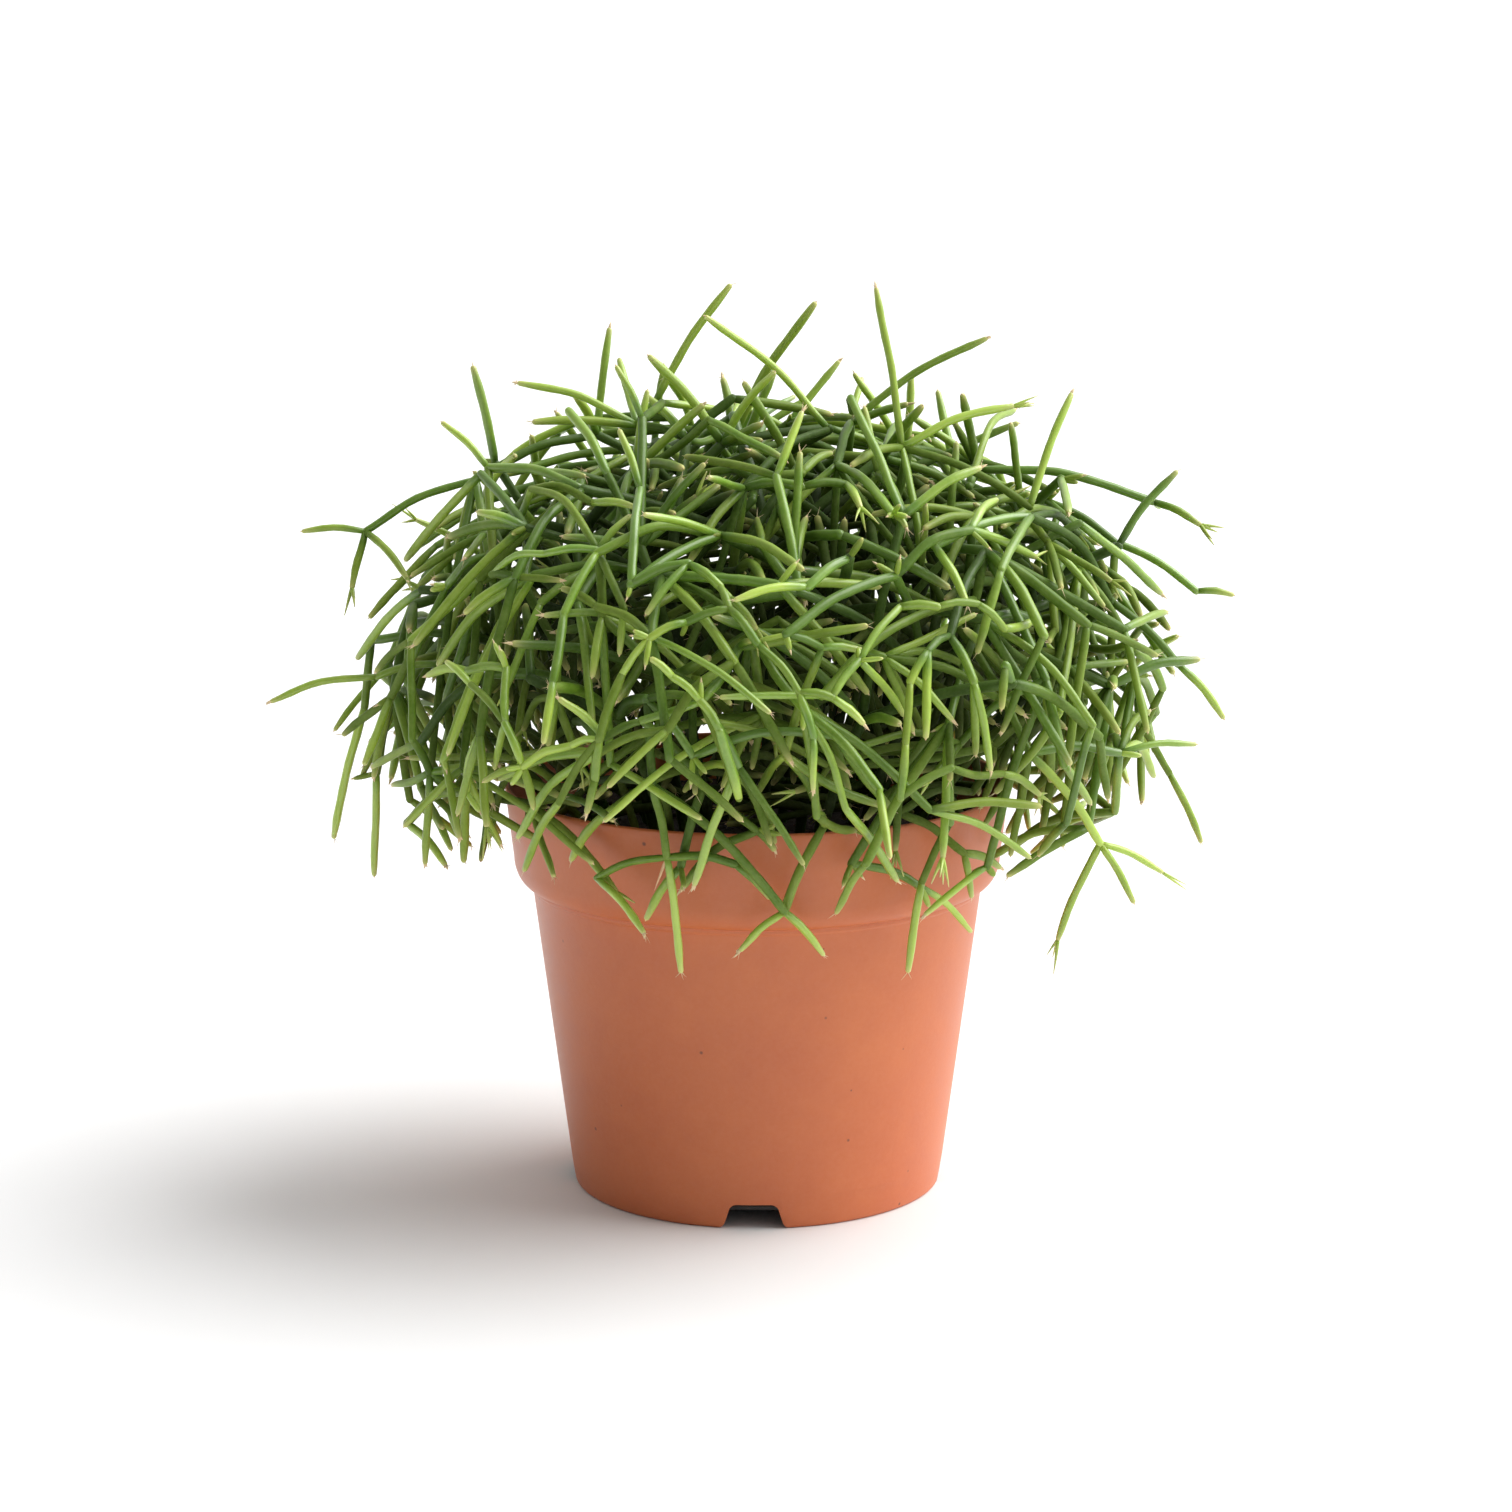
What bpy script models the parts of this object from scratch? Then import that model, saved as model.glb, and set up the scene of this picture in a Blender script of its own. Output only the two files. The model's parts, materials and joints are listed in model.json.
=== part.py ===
"""A rice cactus in a plastic nursery pot, modelled in metres with +Z up.

The origin is on the pot's axis, on the surface that the pot stands on. The parts are the pot, the plug of
soil that fills it, and the rooted cuttings, each of them one branching stem that stands in a plain hole in
the soil. The stems are round and leafless. Each joint ends in a whorl of shorter joints, and their own
weight bends them over, so that they make a dome above the rim and a fringe round it.

The cuttings are grown by a rule with a seeded random draw: first the main joints, then a whorl on each,
then the leading shoots that give the plant its outline, then joints wherever there is room, which run along
the crown as much as out of it. A joint is kept only if it passes clear of the pot and of every joint that is
there already.
"""

import math
import random

import bmesh
import bpy
import numpy as np
from mathutils import Vector

# Pot: a thin moulded shell with a collar, a foot ring and four drain notches
RIM_RADIUS = 0.0600
POT_HEIGHT = 0.0974
COLLAR_FOOT_RADIUS = 0.0579
COLLAR_FOOT_Z = 0.0800
WALL_TOP_RADIUS = 0.0536
WALL_TOP_Z = 0.0734
FOOT_RADIUS = 0.0440
FOOT_ROUND = 0.0010
WALL = 0.0012
LIP_ROUND = 0.0007
FLOOR_TOP_Z = 0.0045
FLOOR_UNDER_Z = 0.0030
FLOOR_CORNER = 0.0012
FOOT_RING_INNER_RADIUS = 0.0410
FOOT_RING_DRAFT = 0.0005
BEAD = 0.0003
BEAD_HEIGHT = 0.0009
POT_STEPS = 48
SHARP_ANGLE = math.radians(40)

# Drain notches: how many, the turn of the first from the front, and the opening's outline
NOTCH_COUNT = 4
NOTCH_TURN = math.radians(-1)
NOTCH_WIDTH_AT_FOOT = 0.0150
NOTCH_WIDTH_AT_TOP = 0.0110
NOTCH_HEIGHT = 0.0049
NOTCH_CORNER = 0.0012
NOTCH_INNER_RADIUS = 0.0385
OVERSHOOT = 0.0020

# Soil: a plug that keeps a small gap to the pot, with an uneven top
GAP = 0.0003
SOIL_TOP_Z = 0.0860
SOIL_RELIEF = 0.0012
SOIL_STEPS = 32
SOIL_RINGS = 5

# Cuttings: how many there are, where they stand and how they are rooted
SEED = 11
CUTTINGS = 24
ROOTING_RADIUS = 0.0420
ROOT_LENGTH = 0.0140
STRAIGHT_LENGTH = 0.0060
HOLE_CLEARANCE = 0.00045
GOLDEN_ANGLE = math.pi * (3 - math.sqrt(5))
LEAN_AT_CENTRE = math.radians(5)
LEAN_AT_EDGE = math.radians(36)

# Crowns: the space that the joints fill, round at the top and nearly upright at the sides. The open one holds
# the leading shoots, and the dense one the joints that fill them in
CROWN_MIDDLE_Z = 0.1220
OPEN_CROWN = {
    "radius": 0.1000,
    "middle_x": 0.0,
    "rise": 0.0690,
    "drop": 0.0480,
    "power_above": 2.3,
    "power_below": 5.0,
}
DENSE_CROWN = {
    "radius": 0.0940,
    "middle_x": 0.0030,
    "rise": 0.0610,
    "drop": 0.0430,
    "power_above": 2.1,
    "power_below": 3.2,
}

# Stages of growth: how strongly low joints fall, high ones rise and all of them keep from pointing outwards,
# how much is left to chance, the greatest turn from the carrier, and the greatest cost of a place
FRAMEWORK = {
    "crown": OPEN_CROWN,
    "falling": 2.2,
    "rising": 0.0,
    "outwards": 0.0,
    "whim": 0.0,
    "turn": 1.10,
    "most_cost": 4.0,
}
FILLING_IN = {
    "crown": DENSE_CROWN,
    "falling": 0.7,
    "rising": 0.6,
    "outwards": 3.0,
    "whim": 1.0,
    "turn": 1.30,
    "most_cost": 6.0,
}

# Joints, by level from the soil outwards: radius of the space that they take, shortest and longest length,
# weight, number in a whorl, and the share of the crown that they should and may reach. The stem itself is
# slimmer than its space
JOINT_RADIUS = (0.00155, 0.00140, 0.00130, 0.00120, 0.00115)
SLIMNESS = 0.88
JOINT_LENGTH = ((0.044, 0.074), (0.034, 0.050), (0.027, 0.042), (0.022, 0.034), (0.018, 0.028))
DROOP = (0.50, 0.60, 0.55, 0.40, 0.30)
WHORL = (0, 3, 3, 2, 2)
WHORL_SPREAD = (-1, 0, 0, 1)
SHARE_WANTED = (0.50, 0.72, 0.93, 1.00, 1.02)
SHARE_ALLOWED = (0.80, 0.90, 1.03, 1.07, 1.09)
WHORL_UNEVENNESS = 0.7
OPENING = (math.radians(18), math.radians(62))
TIP_SHARE = 0.70
MOST_CHILDREN = 4
LEAST_ANGLE = math.radians(22)
TRIES = 30

# Filling: how far out the joints end, their least, usual and greatest length, their usual turn, how far
# they arch, and how many joints there are after each stage
SHARE_FILLED = (0.62, 1.02)
FILL_LENGTH = (0.018, 0.030, 0.050)
USUAL_TURN = 0.60
FILL_BOW = (0.00, 0.14)
FILLED_JOINTS = 380
MOST_JOINTS = 460
MOST_TARGETS = 4000
POINTS_COMPARED = 8
SIZE_COST = 0.03

# Clearances: between joints, from a joint to the pot, and the step at which both are tested
STEM_GAP = 0.00050
POT_GAP = 0.0006
SAMPLE_STEP = 0.0020
OWN_JOINT_REACH = 0.0065
ROOM_WANTED = 0.0080

# Mesh of a joint
TUBE_SIDES = 4
TUBE_TURN = math.radians(25)
TUBE_WIDENING = 1.12
LONG_SPAN = 0.0210

# Leading shoots, point by point in millimetres: each starts at the joint nearest to its first point
LEADS = (
    # the tall shoot right of the middle, and the two that part from its top joint
    ((43, -45, 145), (37, -40, 155), (33, -25, 180), (27, -20, 216)),
    ((33, -25, 180), (59, -20, 189)),
    ((33, -25, 180), (62, -30, 167)),
    # shoots that stand out of the top, from left to right
    ((-62, 10, 172), (-67, 10, 195)),
    ((-13, 0, 174), (-28, 0, 182), (-56, 0, 192)),
    ((-38, 15, 178), (-35, 20, 203)),
    ((-26, -50, 161), (-26, -30, 187), (-32, -28, 199)),
    ((-8, -20, 179), (-25, -15, 200)),
    ((-26, 0, 176), (-24, 0, 187), (-6, 0, 215)),
    ((9, -10, 188), (-12, -15, 209)),
    ((9, -10, 188), (-3, -42, 173), (-15, -60, 159)),
    ((-10, 20, 180), (14, 20, 209)),
    ((22, 5, 182), (54, 5, 202)),
    ((62, -35, 170), (72, -20, 192)),
    ((84, -10, 155), (98, -5, 172)),
    # the right side, from the top down
    ((52, 5, 171), (93, 0, 164), (104, -5, 159)),
    ((69, 20, 162), (85, 10, 153), (104, 5, 142), (113, 5, 141)),
    ((82, -15, 143), (98, -15, 128), (109, -15, 115)),
    ((85, -30, 128), (102, -25, 131)),
    ((61, -55, 115), (82, -45, 113), (100, -40, 114)),
    ((83, -5, 120), (98, 0, 99), (106, 0, 82)),
    ((62, -50, 110), (78, -45, 92), (93, -40, 84)),
    ((78, -45, 92), (86, -45, 78)),
    ((78, -45, 92), (69, -40, 68)),
    # the left side, from the top down
    ((-45, -30, 166), (-62, -15, 174), (-73, -10, 184)),
    ((-37, 15, 168), (-66, 5, 169), (-92, 0, 157), (-107, 0, 157)),
    ((-92, 0, 157), (-95, -5, 144)),
    ((-92, 0, 157), (-81, -15, 148)),
    ((-73, -20, 129), (-88, -20, 126), (-113, -20, 120)),
    ((-91, 0, 131), (-93, 0, 115), (-101, 0, 83)),
    ((-85, -10, 121), (-90, -5, 100), (-91, -5, 75)),
    # the fringe over the front of the rim, from left to right
    ((-48, -60, 119), (-52, -52, 100), (-53, -46, 85)),
    ((-46, -58, 110), (-50, -50, 99), (-74, -40, 78)),
    ((-35, -72, 112), (-39, -62, 101), (-57, -46, 78)),
    ((-38, -70, 108), (-33, -60, 92), (-26, -60, 77)),
    ((-24, -80, 132), (-23, -76, 112), (-20, -68, 94), (-17, -66, 67)),
    ((15, -80, 119), (14, -75, 101), (6, -69, 82), (-4, -66, 72)),
    ((6, -69, 82), (15, -66, 71)),
    ((18, -78, 106), (37, -62, 88), (49, -50, 72)),
    ((42, -72, 125), (43, -64, 101), (37, -58, 86), (34, -58, 65)),
    # the front of the dome
    ((-16, -72, 160), (-1, -80, 145), (10, -86, 131), (13, -80, 106)),
    ((-23, -84, 142), (-12, -88, 133), (-4, -84, 118), (3, -77, 99)),
    ((-5, -84, 141), (-19, -90, 128), (-34, -84, 121), (-57, -70, 112)),
    ((20, -74, 162), (11, -82, 157), (-5, -88, 155)),
    # the back, where the outline reaches as far as in front
    ((20, 80, 150), (14, 98, 142), (10, 113, 128)),
    ((-30, 82, 140), (-40, 96, 126), (-44, 106, 108)),
    ((45, 75, 120), (56, 84, 98), (60, 88, 74)),
    ((-10, 92, 120), (-6, 100, 96), (-8, 101, 72)),
    # the front, which reaches as far as the back
    ((20, -88, 130), (26, -99, 116), (28, -113, 104)),
)
LEAD_BOWS = (0.07, 0.14, 0.0, -0.06)
LEAD_REACH = 0.0110
DEPTH_SHIFTS = (0.0, 0.003, -0.003, 0.006, -0.006, 0.010, -0.010)


def clear_scene():
    """Removes what the startup scene holds."""
    for obj in list(bpy.data.objects):
        bpy.data.objects.remove(obj)


def make_material(name, colour, roughness):
    """A plain Principled material."""
    material = bpy.data.materials.new(name)
    material.use_nodes = True
    shader = material.node_tree.nodes["Principled BSDF"]
    shader.inputs["Base Color"].default_value = (*colour, 1.0)
    shader.inputs["Roughness"].default_value = roughness
    shader.inputs["Metallic"].default_value = 0.0
    material.diffuse_color = (*colour, 1.0)
    return material


def make_object(name, bm, material=None):
    """Turns a bmesh into an object of the scene, shaded smooth apart from its sharp edges."""
    bmesh.ops.recalc_face_normals(bm, faces=bm.faces)
    mesh = bpy.data.meshes.new(name)
    bm.to_mesh(mesh)
    bm.free()
    shade(mesh)
    obj = bpy.data.objects.new(name, mesh)
    bpy.context.scene.collection.objects.link(obj)
    if material:
        mesh.materials.append(material)
    return obj


def shade(mesh):
    """Smooth shading, apart from the edges that are sharp on the real thing."""
    mesh.shade_smooth()
    mesh.set_sharp_from_angle(angle=SHARP_ANGLE)


def bake_modifiers(obj):
    """Replaces the object's mesh with the one that its modifiers make."""
    bpy.context.view_layer.update()
    evaluated = obj.evaluated_get(bpy.context.evaluated_depsgraph_get())
    mesh = bpy.data.meshes.new_from_object(evaluated)
    obj.modifiers.clear()
    obj.data = mesh


def boolean_with(obj, others, operation, name):
    """Cuts the others from the object or joins them to it, applies that and removes them."""
    tools = bpy.data.collections.new(name)
    bpy.context.scene.collection.children.link(tools)
    for other in others:
        bpy.context.scene.collection.objects.unlink(other)
        tools.objects.link(other)
    modifier = obj.modifiers.new(name, "BOOLEAN")
    modifier.operation = operation
    modifier.operand_type = "COLLECTION"
    modifier.collection = tools
    bake_modifiers(obj)
    for other in others:
        bpy.data.objects.remove(other)
    bpy.data.collections.remove(tools)


def keep_outer_shell(obj):
    """Removes every shell but the largest, which are the voids that a union leaves where joints part."""
    bm = bmesh.new()
    bm.from_mesh(obj.data)
    waiting, shells = set(bm.faces), []
    while waiting:
        shell, front = set(), [waiting.pop()]
        while front:
            face = front.pop()
            shell.add(face)
            beside = {f for edge in face.edges for f in edge.link_faces if f in waiting}
            waiting -= beside
            front += beside
        shells.append(shell)
    outer = max(shells, key=len)
    bmesh.ops.delete(bm, geom=[face for face in bm.faces if face not in outer], context="FACES")
    bm.to_mesh(obj.data)
    bm.free()


def turned(profile, steps):
    """A closed bmesh made by turning a profile of (radius, z) points, whose ends are both on the axis."""
    bm = bmesh.new()
    rings = []
    for radius, z in profile[1:-1]:
        turns = [2 * math.pi * i / steps for i in range(steps)]
        rings.append([bm.verts.new((radius * math.cos(a), radius * math.sin(a), z)) for a in turns])
    for lower, upper in zip(rings, rings[1:]):
        for i in range(steps):
            j = (i + 1) % steps
            bm.faces.new((lower[i], lower[j], upper[j], upper[i]))
    for ring, (_, z) in ((rings[0], profile[0]), (rings[-1], profile[-1])):
        pole = bm.verts.new((0, 0, z))
        for i in range(steps):
            bm.faces.new((pole, ring[i], ring[(i + 1) % steps]))
    return bm


def arc(centre, radius, first_angle, last_angle, count):
    """Points (r, z) along a round stretch of a profile, angles in degrees from outwards to up."""
    angles = [math.radians(first_angle + (last_angle - first_angle) * i / (count - 1)) for i in range(count)]
    return [(centre[0] + radius * math.cos(a), centre[1] + radius * math.sin(a)) for a in angles]


def wall_radius(z):
    """Outer radius of the pot's tapered wall below the collar."""
    return FOOT_RADIUS + (WALL_TOP_RADIUS - FOOT_RADIUS) * z / WALL_TOP_Z


def collar_radius(z):
    """Outer radius of the collar above its rounded foot."""
    rise = (z - COLLAR_FOOT_Z) / (POT_HEIGHT - COLLAR_FOOT_Z)
    return COLLAR_FOOT_RADIUS + (RIM_RADIUS - COLLAR_FOOT_RADIUS) * rise


def collar_foot():
    """The bead under the collar and the rounded stretch where the wall swells into the collar."""
    reach = COLLAR_FOOT_RADIUS - WALL_TOP_RADIUS - BEAD
    rise = COLLAR_FOOT_Z - WALL_TOP_Z - BEAD
    bead = [(wall_radius(WALL_TOP_Z - BEAD_HEIGHT - BEAD), WALL_TOP_Z - BEAD_HEIGHT - BEAD)]
    bead += [(WALL_TOP_RADIUS + BEAD, WALL_TOP_Z - BEAD)]
    angles = [math.radians(a) for a in (-90, -50, -20, 0)]
    swell = [(math.cos(a) * reach, math.sin(a) * rise) for a in angles]
    return bead + [(WALL_TOP_RADIUS + BEAD + out, COLLAR_FOOT_Z + up) for out, up in swell]


def build_pot(material):
    """The pot: a turned shell, less its drain notches."""
    floor_radius = wall_radius(FLOOR_TOP_Z) - WALL
    profile = [(0, FLOOR_UNDER_Z), (FOOT_RING_INNER_RADIUS - FOOT_RING_DRAFT, FLOOR_UNDER_Z)]
    profile += [(FOOT_RING_INNER_RADIUS, 0)]
    profile += arc((FOOT_RADIUS - FOOT_ROUND, FOOT_ROUND), FOOT_ROUND, -90, -10, 3)
    profile += collar_foot()
    profile += arc((RIM_RADIUS - LIP_ROUND, POT_HEIGHT - LIP_ROUND), LIP_ROUND, 10, 170, 4)
    profile += [(COLLAR_FOOT_RADIUS - WALL, COLLAR_FOOT_Z), (WALL_TOP_RADIUS - WALL, WALL_TOP_Z)]
    profile += [(floor_radius, FLOOR_TOP_Z + FLOOR_CORNER), (floor_radius - FLOOR_CORNER, FLOOR_TOP_Z)]
    profile += [(0, FLOOR_TOP_Z)]
    pot = make_object("pot", turned(profile, POT_STEPS), material)
    front = NOTCH_TURN - math.pi / 2
    notches = [notch_cutter(front + 2 * math.pi * i / NOTCH_COUNT) for i in range(NOTCH_COUNT)]
    boolean_with(pot, notches, "DIFFERENCE", "drain_notches")
    shade(pot.data)


def notch_cutter(turn):
    """A wedge that cuts one drain notch through the foot ring and the edge of the floor."""
    foot, top = NOTCH_WIDTH_AT_FOOT / 2, NOTCH_WIDTH_AT_TOP / 2
    side = [(foot, -OVERSHOOT), (top + NOTCH_CORNER, NOTCH_HEIGHT - NOTCH_CORNER), (top, NOTCH_HEIGHT)]
    outline = side + [(-y, z) for y, z in reversed(side)]
    bm = bmesh.new()
    near = [bm.verts.new((NOTCH_INNER_RADIUS, y, z)) for y, z in outline]
    far = [bm.verts.new((FOOT_RADIUS + OVERSHOOT, y, z)) for y, z in outline]
    bm.faces.new(near)
    bm.faces.new(far)
    for i in range(len(outline)):
        j = (i + 1) % len(outline)
        bm.faces.new((near[i], near[j], far[j], far[i]))
    cutter = make_object("notch_cutter", bm)
    cutter.rotation_euler.z = turn
    return cutter


def soil_height(x, y):
    """The soil's uneven top, as a sum of low waves that fades out at the pot's wall."""
    waves = math.sin(170 * x + 1.3) * math.cos(140 * y) + 0.6 * math.sin(310 * x - 230 * y + 0.7)
    fade = max(0.0, 1 - (math.hypot(x, y) / COLLAR_FOOT_RADIUS) ** 4)
    return SOIL_TOP_Z + SOIL_RELIEF * waves * fade


def build_soil(material, cuttings):
    """The plug of soil, which keeps a small gap to the pot, less a plain hole for each cutting."""
    inset = WALL + GAP
    foot_radius = wall_radius(FLOOR_TOP_Z) - inset
    top_radius = collar_radius(SOIL_TOP_Z) - inset
    profile = [(0, FLOOR_TOP_Z + GAP), (foot_radius - FLOOR_CORNER, FLOOR_TOP_Z + GAP)]
    profile += [(foot_radius, FLOOR_TOP_Z + GAP + FLOOR_CORNER), (WALL_TOP_RADIUS - inset, WALL_TOP_Z + GAP)]
    profile += [(COLLAR_FOOT_RADIUS - inset, COLLAR_FOOT_Z + GAP)]
    rings = [top_radius * (1 - ring / SOIL_RINGS) for ring in range(SOIL_RINGS)]
    profile += [(radius, SOIL_TOP_Z) for radius in rings] + [(0, SOIL_TOP_Z)]
    bm = turned(profile, SOIL_STEPS)
    for vert in bm.verts:
        if vert.co.z > SOIL_TOP_Z - GAP:
            vert.co.z = soil_height(vert.co.x, vert.co.y)
    soil = make_object("soil", bm, material)
    boolean_with(soil, [root_hole(cutting) for cutting in cuttings], "DIFFERENCE", "root_holes")
    shade(soil.data)


def root_hole(cutting):
    """The cutter for one cutting's hole: its own root, a little wider and deeper, and on above the soil."""
    root, way = cutting[0].points[0], cutting[0].start_way
    radius = JOINT_RADIUS[0] * SLIMNESS * TUBE_WIDENING + HOLE_CLEARANCE
    path = [root - way * GAP, root + way * (ROOT_LENGTH + 2 * STRAIGHT_LENGTH)]
    return make_object("root_hole", tube(path, [radius, radius]))


class Joint:
    """One straight or drooping length of stem between two branching points."""

    def __init__(self, level, points, start_way):
        self.level = level
        self.points = points
        self.start_way = start_way
        self.children = []
        self.ends_lead = False

    @property
    def end(self):
        """The joint's tip."""
        return self.points[-1]

    @property
    def end_way(self):
        """The direction in which the joint ends."""
        return (self.points[-1] - self.points[-2]).normalized()


class Growth:
    """Grows the cuttings, and remembers the space that their joints fill."""

    def __init__(self):
        self.draw = random.Random(SEED)
        self.stage = FRAMEWORK
        self.cuttings = []
        self.centres = np.empty((0, 3))
        self.radii = np.empty(0)
        self.owners = np.empty(0, int)
        self.count = 0

    def samples(self, points):
        """Points along a path, close enough together to test its clearance."""
        found = []
        for a, b in zip(points, points[1:]):
            steps = max(1, math.ceil((b - a).length / SAMPLE_STEP))
            found += [a.lerp(b, i / steps) for i in range(steps)]
        return found + [points[-1]]

    def room(self, points, radius, owner, start):
        """The smallest gap from a path to the joints that are there, apart from its own joint's."""
        path = np.array([tuple(p) for p in points])
        middle = (path.min(axis=0) + path.max(axis=0)) / 2
        reach = (path.max(axis=0) - path.min(axis=0)) / 2 + ROOM_WANTED + 2 * radius
        near = (np.abs(self.centres - middle) < reach).all(axis=1)
        centres, radii, owners = self.centres[near], self.radii[near], self.owners[near]
        if start is not None and len(centres):
            apart = np.abs(centres - np.array(tuple(start))).max(axis=1) > OWN_JOINT_REACH
            keep = apart | (owners != owner)
            centres, radii = centres[keep], radii[keep]
        if not len(centres):
            return ROOM_WANTED
        dx = path[:, None, 0] - centres[None, :, 0]
        dy = path[:, None, 1] - centres[None, :, 1]
        dz = path[:, None, 2] - centres[None, :, 2]
        apart = np.sqrt(np.maximum(dx * dx + dy * dy + dz * dz - SAMPLE_STEP**2 / 2, 0))
        return float((apart - radii[None, :]).min()) - radius

    def keep(self, joint, owner):
        """Adds a joint to its cutting and its space to the space that is filled."""
        path = self.samples(joint.points)
        self.centres = np.vstack([self.centres, [tuple(p) for p in path]])
        self.radii = np.append(self.radii, np.full(len(path), JOINT_RADIUS[joint.level]))
        self.owners = np.append(self.owners, np.full(len(path), owner))
        self.cuttings[owner].append(joint)
        self.count += 1

    def fits(self, points, level, owner, start):
        """The room round a path, or None where it meets the pot, the soil or another joint."""
        radius = JOINT_RADIUS[level]
        path = self.samples(points)
        if not all(clear_of_pot(p, radius) for p in path):
            return None
        gap = self.room(path, radius, owner, start)
        return gap if gap > STEM_GAP else None

    def plant_cuttings(self):
        """The main joints: they stand on a spiral, lean outwards and bend over."""
        for index in range(CUTTINGS):
            share = (index + 0.5) / CUTTINGS
            turn = index * GOLDEN_ANGLE
            self.cuttings.append([])
            for _ in range(TRIES):
                place = turn + self.draw.uniform(-0.2, 0.2)
                radius = ROOTING_RADIUS * math.sqrt(share) * self.draw.uniform(0.94, 1.0)
                lean = LEAN_AT_CENTRE + (LEAN_AT_EDGE - LEAN_AT_CENTRE) * share * self.draw.uniform(0.85, 1.1)
                joint = self.main_joint(place, radius, lean, share)
                if self.fits(joint.points[1:], 0, index, None) is not None:
                    self.keep(joint, index)
                    break

    def main_joint(self, place, radius, lean, share):
        """One main joint, from the foot of its root to its first whorl."""
        x, y = radius * math.cos(place), radius * math.sin(place)
        foot = Vector((x, y, soil_height(x, y)))
        outwards = Vector((math.cos(place), math.sin(place), 0))
        way = Vector((0, 0, math.cos(lean))) + outwards * math.sin(lean)
        shortest, longest = JOINT_LENGTH[0]
        length = longest + (shortest - longest) * share * self.draw.uniform(0.8, 1.15)
        start = foot + way * STRAIGHT_LENGTH
        points = [foot - way * ROOT_LENGTH] + bent_path(start, way, length - STRAIGHT_LENGTH, 0, 3)
        return Joint(0, points, way)

    def grow_whorls(self, levels, most):
        """Whorls on the joints of the levels before, where there is most room, up to a number of joints."""
        carriers = [(n, j) for n, c in enumerate(self.cuttings) for j in c if j.level + 1 in levels]
        carriers = [(owner, joint) for owner, joint in carriers if not joint.ends_lead]
        carriers.sort(key=lambda carrier: -self.room_ahead(carrier[1]))
        for owner, carrier in carriers:
            turn = self.draw.uniform(0, 2 * math.pi)
            wanted = WHORL[carrier.level + 1] + self.draw.choice(WHORL_SPREAD)
            missing = min(wanted, MOST_CHILDREN) - len(carrier.children)
            for number in range(missing):
                if self.count < most:
                    self.grow_child(carrier, owner, turn + 2 * math.pi * number / missing)

    def room_ahead(self, joint):
        """The room a little beyond a joint's tip."""
        ahead = joint.end + joint.end_way * FILL_LENGTH[0]
        return self.room_at(ahead)

    def room_at(self, point):
        """The distance from a point to the nearest joint."""
        apart = self.centres - np.array(tuple(point))
        return float(np.sqrt((apart * apart).sum(axis=1).min()))

    def grow_child(self, carrier, owner, turn):
        """The best of several joints that could grow out of a carrier's tip at about this turn."""
        best, best_score = None, -math.inf
        level = carrier.level + 1
        for _ in range(TRIES):
            turned_by = turn + self.draw.uniform(-WHORL_UNEVENNESS, WHORL_UNEVENNESS)
            way = spread(carrier.end_way, turned_by, self.draw.uniform(*OPENING))
            length = self.draw.uniform(*JOINT_LENGTH[level])
            spans = 3 if length > 2 * LONG_SPAN else 2
            points = bent_path(carrier.end, way, length, level, spans)
            share = crown_share(self.stage["crown"], points[-1])
            if share > SHARE_ALLOWED[level] * self.draw.uniform(0.97, 1.03):
                continue
            if not parts_from_others(carrier, way):
                continue
            gap = self.fits(points, level, owner, carrier.end)
            if gap is None:
                continue
            score = min(gap, ROOM_WANTED) / ROOM_WANTED - 3 * abs(share - SHARE_WANTED[level])
            if score > best_score:
                best, best_score = Joint(level, points, way), score
        if best:
            self.attach(best, carrier, owner)

    def attach(self, joint, carrier, owner):
        """Hangs a finished joint on its carrier."""
        carrier.children.append(joint)
        self.keep(joint, owner)

    def grow_lead(self, lead):
        """A leading shoot, joint by joint, from the nearest whorl that it can reach."""
        points = [Vector(p) / 1000 for p in lead]
        owner, carrier = self.nearest_tip(points[0])
        if (carrier.end - points[0]).length > LEAD_REACH:
            owner, carrier = self.reach(points[0], LEAD_BOWS)
        for point in points[1:]:
            if carrier is None:
                return
            carrier = self.joint_to(carrier, owner, point, LEAD_BOWS)
        if carrier:
            carrier.ends_lead = True

    def nearest_tip(self, point):
        """(owner, joint) of the joint whose tip lies nearest."""
        tips = [(n, j) for n, c in enumerate(self.cuttings) for j in c]
        return min(tips, key=lambda tip: (tip[1].end - point).length)

    def fill(self, most):
        """Joints to the emptiest of the points drawn in the crown, each from the whorl that suits it best."""
        for _ in range(MOST_TARGETS):
            if self.count >= most:
                return
            points = [self.crown_point() for _ in range(POINTS_COMPARED)]
            self.reach(max(points, key=self.room_at), [self.draw.uniform(*FILL_BOW)])

    def crown_point(self):
        """A random point in the outer part of the crown, clear of the pot."""
        crown = self.stage["crown"]
        while True:
            x, y = self.draw.uniform(-1, 1), self.draw.uniform(-1, 1)
            z = self.draw.uniform(CROWN_MIDDLE_Z - crown["drop"], CROWN_MIDDLE_Z + crown["rise"])
            point = Vector((crown["middle_x"] + x * crown["radius"], y * crown["radius"], z))
            outward = SHARE_FILLED[0] < crown_share(crown, point) < SHARE_FILLED[1]
            if outward and clear_of_pot(point, JOINT_RADIUS[0]):
                return point

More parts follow.
